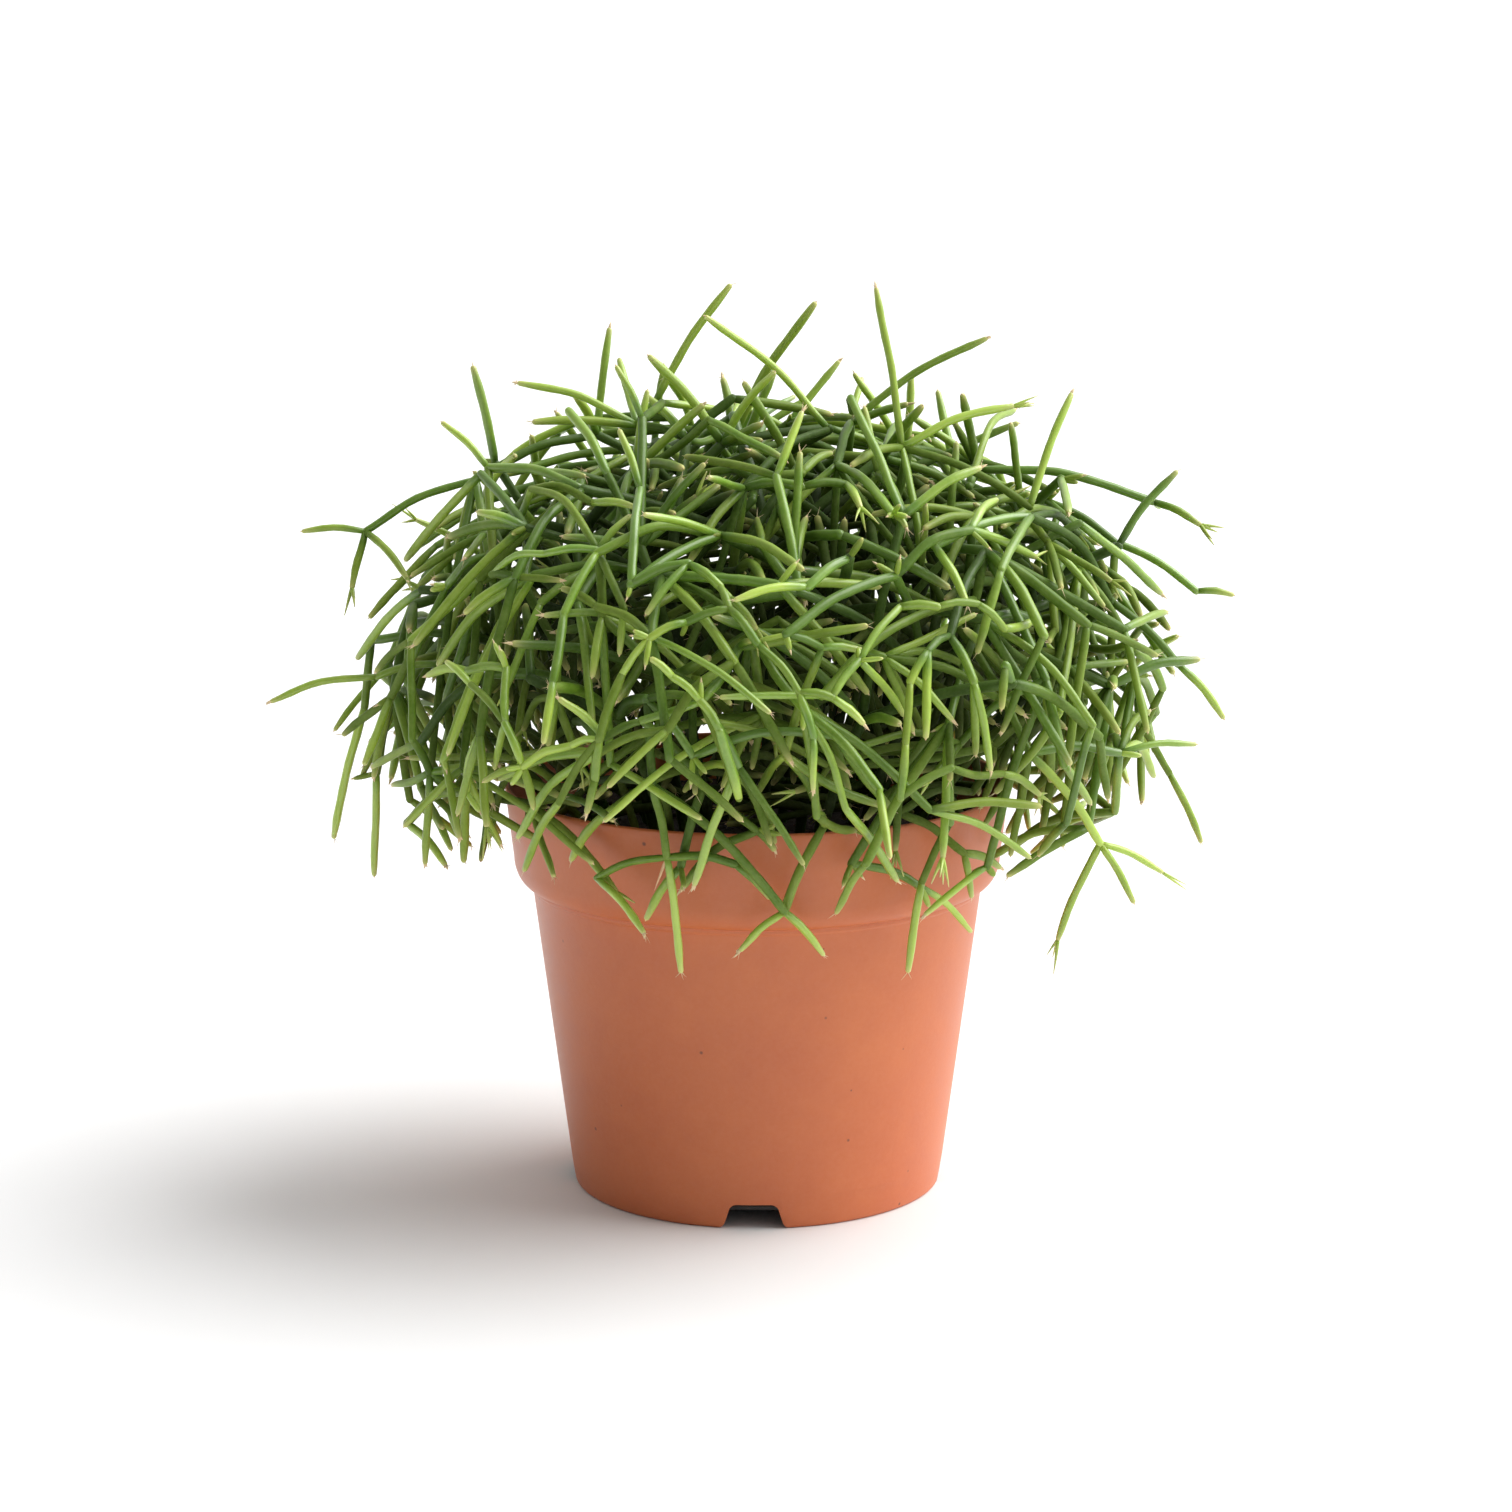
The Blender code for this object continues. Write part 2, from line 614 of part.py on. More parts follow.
    def reach(self, point, bows):
        """(owner, joint) of a new joint to this point from the whorl that suits it best, or no joint."""
        tips = []
        for owner, cutting in enumerate(self.cuttings):
            crowding = SIZE_COST * len(cutting)
            for index, joint in enumerate(cutting):
                cost = reach_cost(self.stage, joint, point)
                if cost < math.inf:
                    luck = self.draw.random() * self.stage["whim"] if self.stage["whim"] else 0.0
                    tips.append((cost + crowding + luck, owner, index))
        for cost, owner, index in sorted(tips)[:TRIES]:
            if cost > self.stage["most_cost"]:
                break
            joint = self.joint_to(self.cuttings[owner][index], owner, point, bows)
            if joint:
                return owner, joint
        return 0, None

    def joint_to(self, carrier, owner, point, bows):
        """A joint from a carrier's tip to a point, moved in depth or bowed until it fits, or None."""
        level = min(carrier.level + 1, len(JOINT_RADIUS) - 1)
        for shift in DEPTH_SHIFTS:
            for bow in bows:
                points = bowed_path(carrier.end, point + Vector((0, shift, 0)), bow)
                way = (points[1] - points[0]).normalized()
                if not parts_from_others(carrier, way):
                    continue
                if self.fits(points, level, owner, carrier.end) is not None:
                    joint = Joint(level, points, way)
                    self.attach(joint, carrier, owner)
                    return joint
        return None

    def grow(self):
        """All cuttings, each a list of joints with its main joint first."""
        self.plant_cuttings()
        self.grow_whorls((1,), MOST_JOINTS)
        for lead in LEADS:
            self.grow_lead(lead)
        self.stage = FILLING_IN
        self.fill(FILLED_JOINTS)
        self.grow_whorls((2, 3, 4), MOST_JOINTS)
        return self.cuttings


def parts_from_others(carrier, way):
    """Whether a direction opens wide enough from the joints that a carrier's tip holds already."""
    return all(way.angle(child.start_way) > LEAST_ANGLE for child in carrier.children)


def clear_of_pot(point, radius):
    """Whether a joint of this radius may pass here, by the pot and the soil."""
    out, z = math.hypot(point.x, point.y), point.z
    space = radius + POT_GAP
    if out < COLLAR_FOOT_RADIUS - WALL - space and z > SOIL_TOP_Z + 2 * SOIL_RELIEF + radius:
        return True
    if z > POT_HEIGHT + space:
        return True
    return out > RIM_RADIUS + space and z > 2 * space


def crown_share(crown, point):
    """How far out in a crown a point is: 0 in its middle and 1 at its edge."""
    out = math.hypot(point.x - crown["middle_x"], point.y) / crown["radius"]
    up = point.z - CROWN_MIDDLE_Z
    if up > 0:
        power, height = crown["power_above"], up / crown["rise"]
    else:
        power, height = crown["power_below"], -up / crown["drop"]
    return (out**power + height**power) ** (1 / power)


def across(way):
    """Two unit vectors across a direction."""
    side = Vector((0, 0, 1)) if abs(way.z) < 0.9 else Vector((1, 0, 0))
    first = way.cross(side).normalized()
    return first, way.cross(first).normalized()


def spread(way, turn, opening):
    """A direction that opens from this one by an angle, at a turn about it."""
    first, second = across(way)
    side = first * math.cos(turn) + second * math.sin(turn)
    return (way * math.cos(opening) + side * math.sin(opening)).normalized()


def bent_path(start, way, length, level, spans):
    """A path that sets out in a direction and bends over under its weight, more so further out."""
    out = math.hypot(start.x, start.y) / OPEN_CROWN["radius"]
    fall = Vector((0, 0, -DROOP[level] * (0.3 + out)))
    points = [start]
    for span in range(spans):
        share = (span + 0.5) / spans
        points.append(points[-1] + (way + fall * share).normalized() * (length / spans))
    return points


def bowed_path(start, end, bow):
    """A path between two points that arches up across its length by a share of it."""
    chord = end - start
    spans = 3 if chord.length > 2 * LONG_SPAN else 2
    lift = Vector((0, 0, 1)) - chord * (chord.z / chord.length_squared)
    shares = [i / spans for i in range(spans + 1)]
    return [start.lerp(end, s) + lift * (4 * s * (1 - s) * bow * chord.length) for s in shares]


def reach_cost(stage, joint, point):
    """How badly a joint's tip suits as the start of a joint to this point: too far, too near or bent back."""
    gap, crown = point - joint.end, stage["crown"]
    if joint.ends_lead or len(joint.children) >= MOST_CHILDREN:
        return math.inf
    if not FILL_LENGTH[0] < gap.length < FILL_LENGTH[2]:
        return math.inf
    turn = joint.end_way.angle(gap)
    if turn > stage["turn"] or crown_share(crown, joint.end) > 1.0:
        return math.inf
    away = abs(gap.length - FILL_LENGTH[1]) / 0.010 + abs(turn - USUAL_TURN) / 0.5
    hanging = min(1.0, max(0.0, (CROWN_MIDDLE_Z - point.z) / crown["drop"] + 0.25))
    rising = min(1.0, max(0.0, (point.z - CROWN_MIDDLE_Z) / crown["rise"])) * stage["rising"]
    climb = gap.z / gap.length
    bent = (1 + climb) * (0.3 + stage["falling"] * hanging) + (1 - climb) * rising
    if stage["outwards"]:
        bent += stage["outwards"] * abs(crown_share(crown, point) - crown_share(crown, joint.end))
    return away + bent - 0.5 * min(2, len(joint.children))


def tube(path, radii):
    """A closed bmesh tube along a path, with flat ends."""
    bm = bmesh.new()
    first, _ = across((path[1] - path[0]).normalized())
    rings, ways = [], [(b - a).normalized() for a, b in zip(path, path[1:])]
    for i, point in enumerate(path):
        way = (ways[max(0, i - 1)] + ways[min(i, len(ways) - 1)]).normalized()
        first = (first - way * first.dot(way)).normalized()
        second = way.cross(first)
        turns = [TUBE_TURN + 2 * math.pi * k / TUBE_SIDES for k in range(TUBE_SIDES)]
        offsets = [(first * math.cos(a) + second * math.sin(a)) * radii[i] for a in turns]
        rings.append([bm.verts.new(point + offset) for offset in offsets])
    for lower, upper in zip(rings, rings[1:]):
        for k in range(TUBE_SIDES):
            j = (k + 1) % TUBE_SIDES
            bm.faces.new((lower[k], lower[j], upper[j], upper[k]))
    bm.faces.new(list(reversed(rings[0])))
    bm.faces.new(rings[-1])
    return bm


def run_from(joint):
    """A joint and those that continue it, each time the child that bends least from it."""
    run = [joint]
    while run[-1].children:
        way = run[-1].end_way
        run.append(min(run[-1].children, key=lambda child: child.start_way.angle(way)))
    return run


def build_cutting(name, joints, material):
    """One cutting: a tube for each run of joints, rooted in its carrier and joined in one body."""
    tubes, waiting = [], [joints[0]]
    while waiting:
        run = run_from(waiting.pop())
        path, radii = [run[0].points[0]], [JOINT_RADIUS[run[0].level] * SLIMNESS * TUBE_WIDENING]
        for joint in run:
            path += joint.points[1:]
            radii += [JOINT_RADIUS[joint.level] * SLIMNESS * TUBE_WIDENING] * (len(joint.points) - 1)
            waiting += [child for child in joint.children if child not in run]
        radii[-1] *= TIP_SHARE
        tubes.append(make_object(name, tube(path, radii)))
    stem = tubes[0]
    stem.name = name
    stem.data.materials.append(material)
    if len(tubes) > 1:
        boolean_with(stem, tubes[1:], "UNION", name + "_branches")
        keep_outer_shell(stem)
    shade(stem.data)


def main():
    clear_scene()
    terracotta = make_material("terracotta_plastic", (0.62, 0.20, 0.09), 0.55)
    peat = make_material("peat", (0.035, 0.024, 0.017), 0.95)
    green = make_material("stem_green", (0.13, 0.26, 0.05), 0.45)
    cuttings = Growth().grow()
    build_pot(terracotta)
    build_soil(peat, cuttings)
    for number, joints in enumerate(cuttings, start=1):
        build_cutting(f"cutting_{number:02d}", joints, green)


main()
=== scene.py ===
"""Looks of the potted rice cactus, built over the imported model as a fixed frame.

The stems follow the same growth rule and the same seeded draw as the solids, so each dressed cutting lies
where its node lies. The rule then goes on with shorter joints until the crown is as dense as the real one.
The pot and the soil are finer versions of their nodes. All sizes are in metres, with +Z up and the origin
on the pot's axis, on the surface that it stands on.
"""

import json
import logging
import math
import random
from dataclasses import dataclass, field, replace
from enum import Enum
from typing import Callable, Iterable, Optional, Sequence

import bmesh
import bpy
import numpy as np
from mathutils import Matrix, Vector, noise

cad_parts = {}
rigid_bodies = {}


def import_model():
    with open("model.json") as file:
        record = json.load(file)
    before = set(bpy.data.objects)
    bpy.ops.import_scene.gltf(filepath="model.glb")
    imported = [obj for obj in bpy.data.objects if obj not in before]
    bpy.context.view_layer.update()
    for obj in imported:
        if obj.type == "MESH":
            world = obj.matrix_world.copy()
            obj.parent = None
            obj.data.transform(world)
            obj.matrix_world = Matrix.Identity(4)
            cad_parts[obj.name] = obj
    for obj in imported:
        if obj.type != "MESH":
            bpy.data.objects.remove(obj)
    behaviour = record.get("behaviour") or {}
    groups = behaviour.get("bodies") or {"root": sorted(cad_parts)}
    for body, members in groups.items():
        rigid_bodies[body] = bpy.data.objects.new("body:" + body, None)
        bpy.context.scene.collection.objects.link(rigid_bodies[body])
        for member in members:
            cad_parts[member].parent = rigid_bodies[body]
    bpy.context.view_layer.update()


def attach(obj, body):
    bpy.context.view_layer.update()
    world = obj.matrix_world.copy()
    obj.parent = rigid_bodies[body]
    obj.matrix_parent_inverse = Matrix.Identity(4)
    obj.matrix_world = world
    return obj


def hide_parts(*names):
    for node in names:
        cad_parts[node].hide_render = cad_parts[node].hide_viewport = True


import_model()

logging.basicConfig(level=logging.INFO, format="%(message)s")
log = logging.getLogger("rice_cactus")

Colour = tuple[float, float, float]
Place = tuple[float, float, float]
Span = tuple[float, float]
Face = tuple[int, ...]
Path = list[Vector]

# The attribute under which the points of a mesh carry their three values
VALUES = "growth"

TURN = 2 * math.pi


# Small helpers for directions and paths


def across(way: Vector) -> tuple[Vector, Vector]:
    """Two unit vectors across a direction.

    Args:
        way: The direction, of length 1.

    Returns:
        Two directions at right angles to it and to each other.
    """
    side = Vector((0, 0, 1)) if abs(way.z) < 0.9 else Vector((1, 0, 0))
    first = way.cross(side).normalized()
    return first, way.cross(first).normalized()


def spread(way: Vector, turn: float, opening: float) -> Vector:
    """A direction that opens from another by an angle.

    Args:
        way: The direction to open from.
        turn: The turn about it, in radians.
        opening: The angle between the two, in radians.

    Returns:
        The new direction, of length 1.
    """
    first, second = across(way)
    side = first * math.cos(turn) + second * math.sin(turn)
    return (way * math.cos(opening) + side * math.sin(opening)).normalized()


def smoothstep(value: float) -> float:
    """A soft rise from 0 to 1 as the value goes from 0 to 1."""
    share = min(1.0, max(0.0, value))
    return share * share * (3 - 2 * share)


def smooth_path(points: Sequence[Vector], start_way: Vector, step: float) -> Path:
    """A smooth line through a joint's points.

    Args:
        points: The points that it passes through.
        start_way: The direction in which it sets out.
        step: The distance between the points of the result, about.

    Returns:
        Points along the line, its two ends among them.
    """
    ways = [start_way * (points[1] - points[0]).length]
    ways += [(after - before) / 2 for before, after in zip(points, points[2:])]
    ways.append(points[-1] - points[-2])
    found = [points[0].copy()]
    for number, (first, last) in enumerate(zip(points, points[1:])):
        pieces = max(2, round((last - first).length / step))
        for i in range(1, pieces + 1):
            t = i / pieces
            lead = first * (2 * t**3 - 3 * t**2 + 1) + last * (3 * t**2 - 2 * t**3)
            bend = ways[number] * (t**3 - 2 * t**2 + t) + ways[number + 1] * (t**3 - t**2)
            found.append(lead + bend)
    return found


# The growth rule, shared with the solids


@dataclass(frozen=True)
class PotShape:
    """Main sizes of the pot and of the soil in it."""

    rim_radius: float = 0.0600
    height: float = 0.0974
    collar_foot_radius: float = 0.0579
    collar_foot_z: float = 0.0800
    wall_top_radius: float = 0.0536
    wall_top_z: float = 0.0734
    foot_radius: float = 0.0440
    wall: float = 0.0012
    floor_top_z: float = 0.0045
    soil_gap: float = 0.0003
    soil_top_z: float = 0.0860
    soil_relief: float = 0.0012
    stem_clearance: float = 0.0006

    def wall_radius(self, z: float) -> float:
        """Outer radius of the tapered wall below the collar."""
        return self.foot_radius + (self.wall_top_radius - self.foot_radius) * z / self.wall_top_z

    def collar_radius(self, z: float) -> float:
        """Outer radius of the collar above its rounded foot."""
        rise = (z - self.collar_foot_z) / (self.height - self.collar_foot_z)
        return self.collar_foot_radius + (self.rim_radius - self.collar_foot_radius) * rise

    def soil_height(self, x: float, y: float) -> float:
        """Height of the soil's uneven top.

        Args:
            x: Place to the right of the axis.
            y: Place behind the axis.

        Returns:
            The height over the surface that the pot stands on.
        """
        waves = math.sin(170 * x + 1.3) * math.cos(140 * y) + 0.6 * math.sin(310 * x - 230 * y + 0.7)
        fade = max(0.0, 1 - (math.hypot(x, y) / self.collar_foot_radius) ** 4)
        return self.soil_top_z + self.soil_relief * waves * fade

    def clears(self, point: Vector, radius: float) -> bool:
        """Whether a joint may pass here, by the pot and the soil.

        Args:
            point: A point on the joint's middle line.
            radius: The joint's radius.

        Returns:
            True where it touches neither.
        """
        out, z = math.hypot(point.x, point.y), point.z
        space = radius + self.stem_clearance
        inner = self.collar_foot_radius - self.wall - space
        if out < inner and z > self.soil_top_z + 2 * self.soil_relief + radius:
            return True
        if z > self.height + space:
            return True
        return out > self.rim_radius + space and z > 2 * space


@dataclass(frozen=True)
class CrownShape:
    """The space that the joints fill: round at the top and nearly upright at the sides."""

    radius: float = 0.1000
    middle_z: float = 0.1220
    rise: float = 0.0690
    drop: float = 0.0480
    power_above: float = 2.3
    power_below: float = 5.0
    middle_x: float = 0.0
    depth: float = 1.0

    def share(self, point: Vector) -> float:
        """How far out in the crown a point is: 0 in its middle and 1 at its edge."""
        out = math.hypot(point.x - self.middle_x, point.y / self.depth) / self.radius
        up = point.z - self.middle_z
        if up > 0:
            power, height = self.power_above, up / self.rise
        else:
            power, height = self.power_below, -up / self.drop
        return (out**power + height**power) ** (1 / power)


@dataclass(frozen=True)
class Habit:
    """How the plant grows, by level of joint from the soil outwards."""

    joint_radius: tuple[float, ...] = (0.00155, 0.00140, 0.00130, 0.00120, 0.00115)
    joint_length: tuple[Span, ...] = (
        (0.044, 0.074),
        (0.034, 0.050),
        (0.027, 0.042),
        (0.022, 0.034),
        (0.018, 0.028),
    )
    droop: tuple[float, ...] = (0.50, 0.60, 0.55, 0.40, 0.30)
    whorl: tuple[int, ...] = (0, 3, 3, 2, 2)
    whorl_spread: tuple[int, ...] = (-1, 0, 0, 1)
    whorl_unevenness: float = 0.7
    opening: Span = (math.radians(18), math.radians(62))
    least_angle: float = math.radians(22)
    share_wanted: tuple[float, ...] = (0.50, 0.72, 0.93, 1.00, 1.02)
    share_allowed: tuple[float, ...] = (0.80, 0.90, 1.03, 1.07, 1.09)
    long_span: float = 0.0210
    room_wanted: float = 0.0080
    sample_step: float = 0.0020
    own_joint_reach: float = 0.0065
    share_spread: Span = (0.97, 1.03)
    share_weight: float = 3.0
    droop_at_axis: float = 0.3


@dataclass(frozen=True)
class Rooting:
    """How the cuttings stand in the soil."""

    count: int = 24
    radius: float = 0.0420
    root_length: float = 0.0140
    straight_length: float = 0.0060
    golden_angle: float = math.pi * (3 - math.sqrt(5))
    lean_at_centre: float = math.radians(5)
    lean_at_edge: float = math.radians(36)
    turn_spread: Span = (-0.2, 0.2)
    radius_spread: Span = (0.94, 1.0)
    lean_spread: Span = (0.85, 1.1)
    length_spread: Span = (0.8, 1.15)


@dataclass(frozen=True)
class Filling:
    """One stage of growth: the crown that it fills, how many joints there are after it and how they lie."""

    joints: int
    crown: CrownShape = CrownShape()
    falling: float = 2.2
    rising: float = 0.0
    outwards: float = 0.0
    whim: float = 0.0
    share: Span = (0.62, 1.02)
    length: tuple[float, float, float] = (0.018, 0.030, 0.050)
    turn: Span = (0.60, 1.10)
    bow: Span = (0.00, 0.14)
    targets: int = 4000
    compared: int = 8
    tries: int = 30
    most_children: int = 4
    most_cost: float = 4.0
    size_cost: float = 0.03
    stem_gap: float = 0.00050
    reach: float = 1.0
    apron_z: float = 0.0
    droop: float = 1.0
    length_ease: float = 0.010
    turn_ease: float = 0.5
    hanging_from: float = 0.25
    least_bend_cost: float = 0.3
    branch_gain: float = 0.5


DENSE_CROWN = CrownShape(
    radius=0.0940, rise=0.0610, drop=0.0430, power_above=2.1, power_below=3.2, middle_x=0.0030
)
THICKET = replace(DENSE_CROWN, rise=0.0600, depth=0.90)
CREST = CrownShape(radius=0.0740, middle_z=0.1540, rise=0.0440, drop=0.0060, power_above=2.0)

# Leading shoots, point by point in millimetres: each starts at the joint nearest to its first point
LEADS = (
    # the tall shoot right of the middle, and the two that part from its top joint
    ((43, -45, 145), (37, -40, 155), (33, -25, 180), (27, -20, 216)),
    ((33, -25, 180), (59, -20, 189)),
    ((33, -25, 180), (62, -30, 167)),
    # shoots that stand out of the top, from left to right
    ((-62, 10, 172), (-67, 10, 195)),
    ((-13, 0, 174), (-28, 0, 182), (-56, 0, 192)),
    ((-38, 15, 178), (-35, 20, 203)),
    ((-26, -50, 161), (-26, -30, 187), (-32, -28, 199)),
    ((-8, -20, 179), (-25, -15, 200)),
    ((-26, 0, 176), (-24, 0, 187), (-6, 0, 215)),
    ((9, -10, 188), (-12, -15, 209)),
    ((9, -10, 188), (-3, -42, 173), (-15, -60, 159)),
    ((-10, 20, 180), (14, 20, 209)),
    ((22, 5, 182), (54, 5, 202)),
    ((62, -35, 170), (72, -20, 192)),
    ((84, -10, 155), (98, -5, 172)),
    # the right side, from the top down
    ((52, 5, 171), (93, 0, 164), (104, -5, 159)),
    ((69, 20, 162), (85, 10, 153), (104, 5, 142), (113, 5, 141)),
    ((82, -15, 143), (98, -15, 128), (109, -15, 115)),
    ((85, -30, 128), (102, -25, 131)),
    ((61, -55, 115), (82, -45, 113), (100, -40, 114)),
    ((83, -5, 120), (98, 0, 99), (106, 0, 82)),
    ((62, -50, 110), (78, -45, 92), (93, -40, 84)),
    ((78, -45, 92), (86, -45, 78)),
    ((78, -45, 92), (69, -40, 68)),
    # the left side, from the top down
    ((-45, -30, 166), (-62, -15, 174), (-73, -10, 184)),
    ((-37, 15, 168), (-66, 5, 169), (-92, 0, 157), (-107, 0, 157)),
    ((-92, 0, 157), (-95, -5, 144)),
    ((-92, 0, 157), (-81, -15, 148)),
    ((-73, -20, 129), (-88, -20, 126), (-113, -20, 120)),
    ((-91, 0, 131), (-93, 0, 115), (-101, 0, 83)),
    ((-85, -10, 121), (-90, -5, 100), (-91, -5, 75)),
    # the fringe over the front of the rim, from left to right
    ((-48, -60, 119), (-52, -52, 100), (-53, -46, 85)),
    ((-46, -58, 110), (-50, -50, 99), (-74, -40, 78)),
    ((-35, -72, 112), (-39, -62, 101), (-57, -46, 78)),
    ((-38, -70, 108), (-33, -60, 92), (-26, -60, 77)),
    ((-24, -80, 132), (-23, -76, 112), (-20, -68, 94), (-17, -66, 67)),
    ((15, -80, 119), (14, -75, 101), (6, -69, 82), (-4, -66, 72)),
    ((6, -69, 82), (15, -66, 71)),
    ((18, -78, 106), (37, -62, 88), (49, -50, 72)),
    ((42, -72, 125), (43, -64, 101), (37, -58, 86), (34, -58, 65)),
    # the front of the dome
    ((-16, -72, 160), (-1, -80, 145), (10, -86, 131), (13, -80, 106)),
    ((-23, -84, 142), (-12, -88, 133), (-4, -84, 118), (3, -77, 99)),
    ((-5, -84, 141), (-19, -90, 128), (-34, -84, 121), (-57, -70, 112)),
    ((20, -74, 162), (11, -82, 157), (-5, -88, 155)),
    # the back, where the outline reaches as far as in front
    ((20, 80, 150), (14, 98, 142), (10, 113, 128)),
    ((-30, 82, 140), (-40, 96, 126), (-44, 106, 108)),
    ((45, 75, 120), (56, 84, 98), (60, 88, 74)),
    ((-10, 92, 120), (-6, 100, 96), (-8, 101, 72)),
    # the front, which reaches as far as the back
    ((20, -88, 130), (26, -99, 116), (28, -113, 104)),
)

# Further shoots that are seen in front of the others, in the same form
FRONT_SHOOTS = (
    # front of the dome, left of the middle
    ((-26, -70, 163), (-15, -75, 161), (-8, -81, 157), (-6, -86, 153)),
    ((-6, -86, 153), (0, -90, 146), (9, -94, 136), (12, -96, 127), (12, -96, 115)),
    ((-6, -86, 152), (-15, -86, 150), (-23, -86, 147), (-29, -88, 139), (-34, -90, 125)),
    ((-11, -70, 166), (-15, -75, 161), (-24, -83, 151)),
    ((-34, -90, 125), (-43, -84, 110), (-52, -64, 90)),
    ((-34, -90, 124), (-35, -88, 116), (-37, -87, 108)),
    ((-34, -90, 125), (-40, -86, 123), (-51, -80, 117), (-60, -74, 113)),
    ((-12, -91, 134), (-25, -90, 128), (-33, -86, 124)),
    ((-4, -96, 122), (-8, -96, 128), (-12, -94, 134), (-18, -92, 139), (-23, -88, 143)),
    ((-12, -90, 133), (-4, -88, 143), (-1, -86, 146)),
    ((-35, -84, 125), (-43, -78, 133)),
    ((-35, -66, 162), (-42, -75, 150), (-44, -82, 137), (-46, -84, 124)),
    ((-24, -80, 147), (-35, -72, 151), (-43, -65, 154)),
    ((-59, -56, 152), (-59, -52, 155), (-47, -55, 161), (-35, -62, 162)),
    ((-27, -61, 162), (-29, -74, 151), (-30, -79, 141)),
    ((-33, -59, 159), (-34, -71, 148), (-36, -76, 136)),
    # front of the dome, right of the middle
    ((9, -94, 136), (16, -94, 135), (23, -94, 129)),
    ((15, -91, 135), (22, -88, 142), (31, -78, 152)),
    ((42, -76, 149), (37, -82, 143), (33, -86, 137)),
    ((36, -86, 135), (32, -89, 124), (31, -89, 112)),
    ((45, -76, 147), (47, -80, 136), (51, -80, 116)),
    ((53, -76, 145), (54, -78, 139), (53, -82, 130)),
    ((42, -80, 132), (48, -78, 118)),
    ((33, -87, 114), (42, -83, 118), (54, -76, 114)),
    ((41, -81, 127), (42, -81, 114)),
    ((55, -66, 139), (60, -66, 131), (63, -65, 122)),
    ((24, -85, 137), (32, -85, 128)),
    ((6, -86, 141), (14, -84, 144), (23, -82, 143)),
    ((56, -70, 120), (63, -63, 107)),
    ((30, -80, 154), (39, -78, 152), (48, -74, 152)),
    ((46, -73, 150), (54, -71, 146), (62, -64, 146)),
    ((37, -70, 161), (47, -56, 166), (54, -39, 170)),
    ((37, -63, 160), (46, -68, 151)),
    ((19, -30, 178), (30, -52, 169), (33, -57, 166)),
    ((-2, -48, 174), (10, -47, 174), (20, -44, 174), (23, -54, 170)),
    ((-15, -75, 161), (-6, -84, 154), (0, -90, 147)),
    ((-3, -56, 174), (10, -78, 160)),
    ((33, -26, 180), (21, -42, 178)),
    # upper left and upper right
    ((-37, -62, 166), (-51, -36, 172), (-64, 10, 170), (-73, 11, 177)),
    ((-27, -70, 164), (-26, -52, 174), (-26, -16, 183)),
    ((-62, -10, 165), (-60, -45, 156)),
    ((-58, -60, 152), (-65, -58, 147)),
    ((-59, -49, 154), (-43, -64, 155)),
    ((-47, -36, 169), (-37, -44, 170), (-27, -52, 170)),
    ((-56, 12, 170), (-41, -4, 177), (-28, -18, 179)),
    ((-35, -62, 162), (-28, -54, 169)),
    ((46, -24, 175), (61, 14, 184)),
    ((57, -20, 167), (49, -37, 166), (37, -51, 165)),
    ((64, -33, 159), (75, -4, 157), (82, -14, 148)),
    ((67, -26, 158), (74, -25, 152), (78, -28, 146)),
    ((4, -40, 176), (10, -40, 176), (17, -21, 179)),
    ((-25, -20, 178), (-14, -36, 176), (-3, -48, 174)),
    # lower left
    ((-51, -80, 120), (-55, -77, 126), (-63, -68, 133), (-69, -61, 137)),
    ((-50, -76, 131), (-55, -70, 137), (-64, -62, 135), (-74, -52, 132), (-87, -28, 125)),
    ((-50, -76, 131), (-58, -71, 114)),
    ((-44, -72, 144), (-44, -78, 131), (-46, -78, 120)),
    ((-50, -77, 114), (-49, -77, 107), (-51, -58, 89)),
    ((-56, -69, 123), (-65, -59, 107)),
    ((-67, -61, 106), (-81, -28, 93)),
    ((-67, -60, 105), (-67, -42, 87)),
    ((-73, -46, 122), (-74, -44, 109), (-76, -40, 86)),
    ((-74, -26, 95), (-71, -42, 86)),
    # over the collar
    ((-19, -78, 122), (-12, -72, 110), (0, -68, 100), (4, -66, 95)),
    ((-12, -72, 110), (-17, -64, 91)),
    ((-8, -80, 123), (-4, -75, 114), (4, -66, 96)),
    ((-14, -66, 100), (-5, -66, 92), (3, -66, 84)),
    ((32, -64, 109), (31, -58, 93)),
    ((16, -66, 100), (37, -54, 84), (49, -44, 71)),
    ((16, -72, 112), (15, -66, 101), (6, -66, 81), (-4, -66, 72)),
    ((6, -66, 81), (15, -64, 70)),
    ((3, -66, 92), (-2, -66, 79)),
    ((-34, -58, 99), (-42, -51, 90)),
    ((-23, -62, 99), (-36, -55, 87)),
    ((-32, -58, 89), (-25, -60, 77)),
    ((-14, -64, 91), (-25, -61, 78)),
    ((-1, -66, 97), (-17, -64, 85)),
    ((34, -60, 104), (47, -46, 90), (56, -35, 84)),
    ((43, -50, 91), (49, -44, 79)),
    ((14, -72, 111), (22, -63, 99)),
    ((29, -64, 105), (24, -64, 101)),
    ((6, -77, 119), (14, -68, 103)),
    ((-36, -66, 113), (-45, -50, 99)),
)


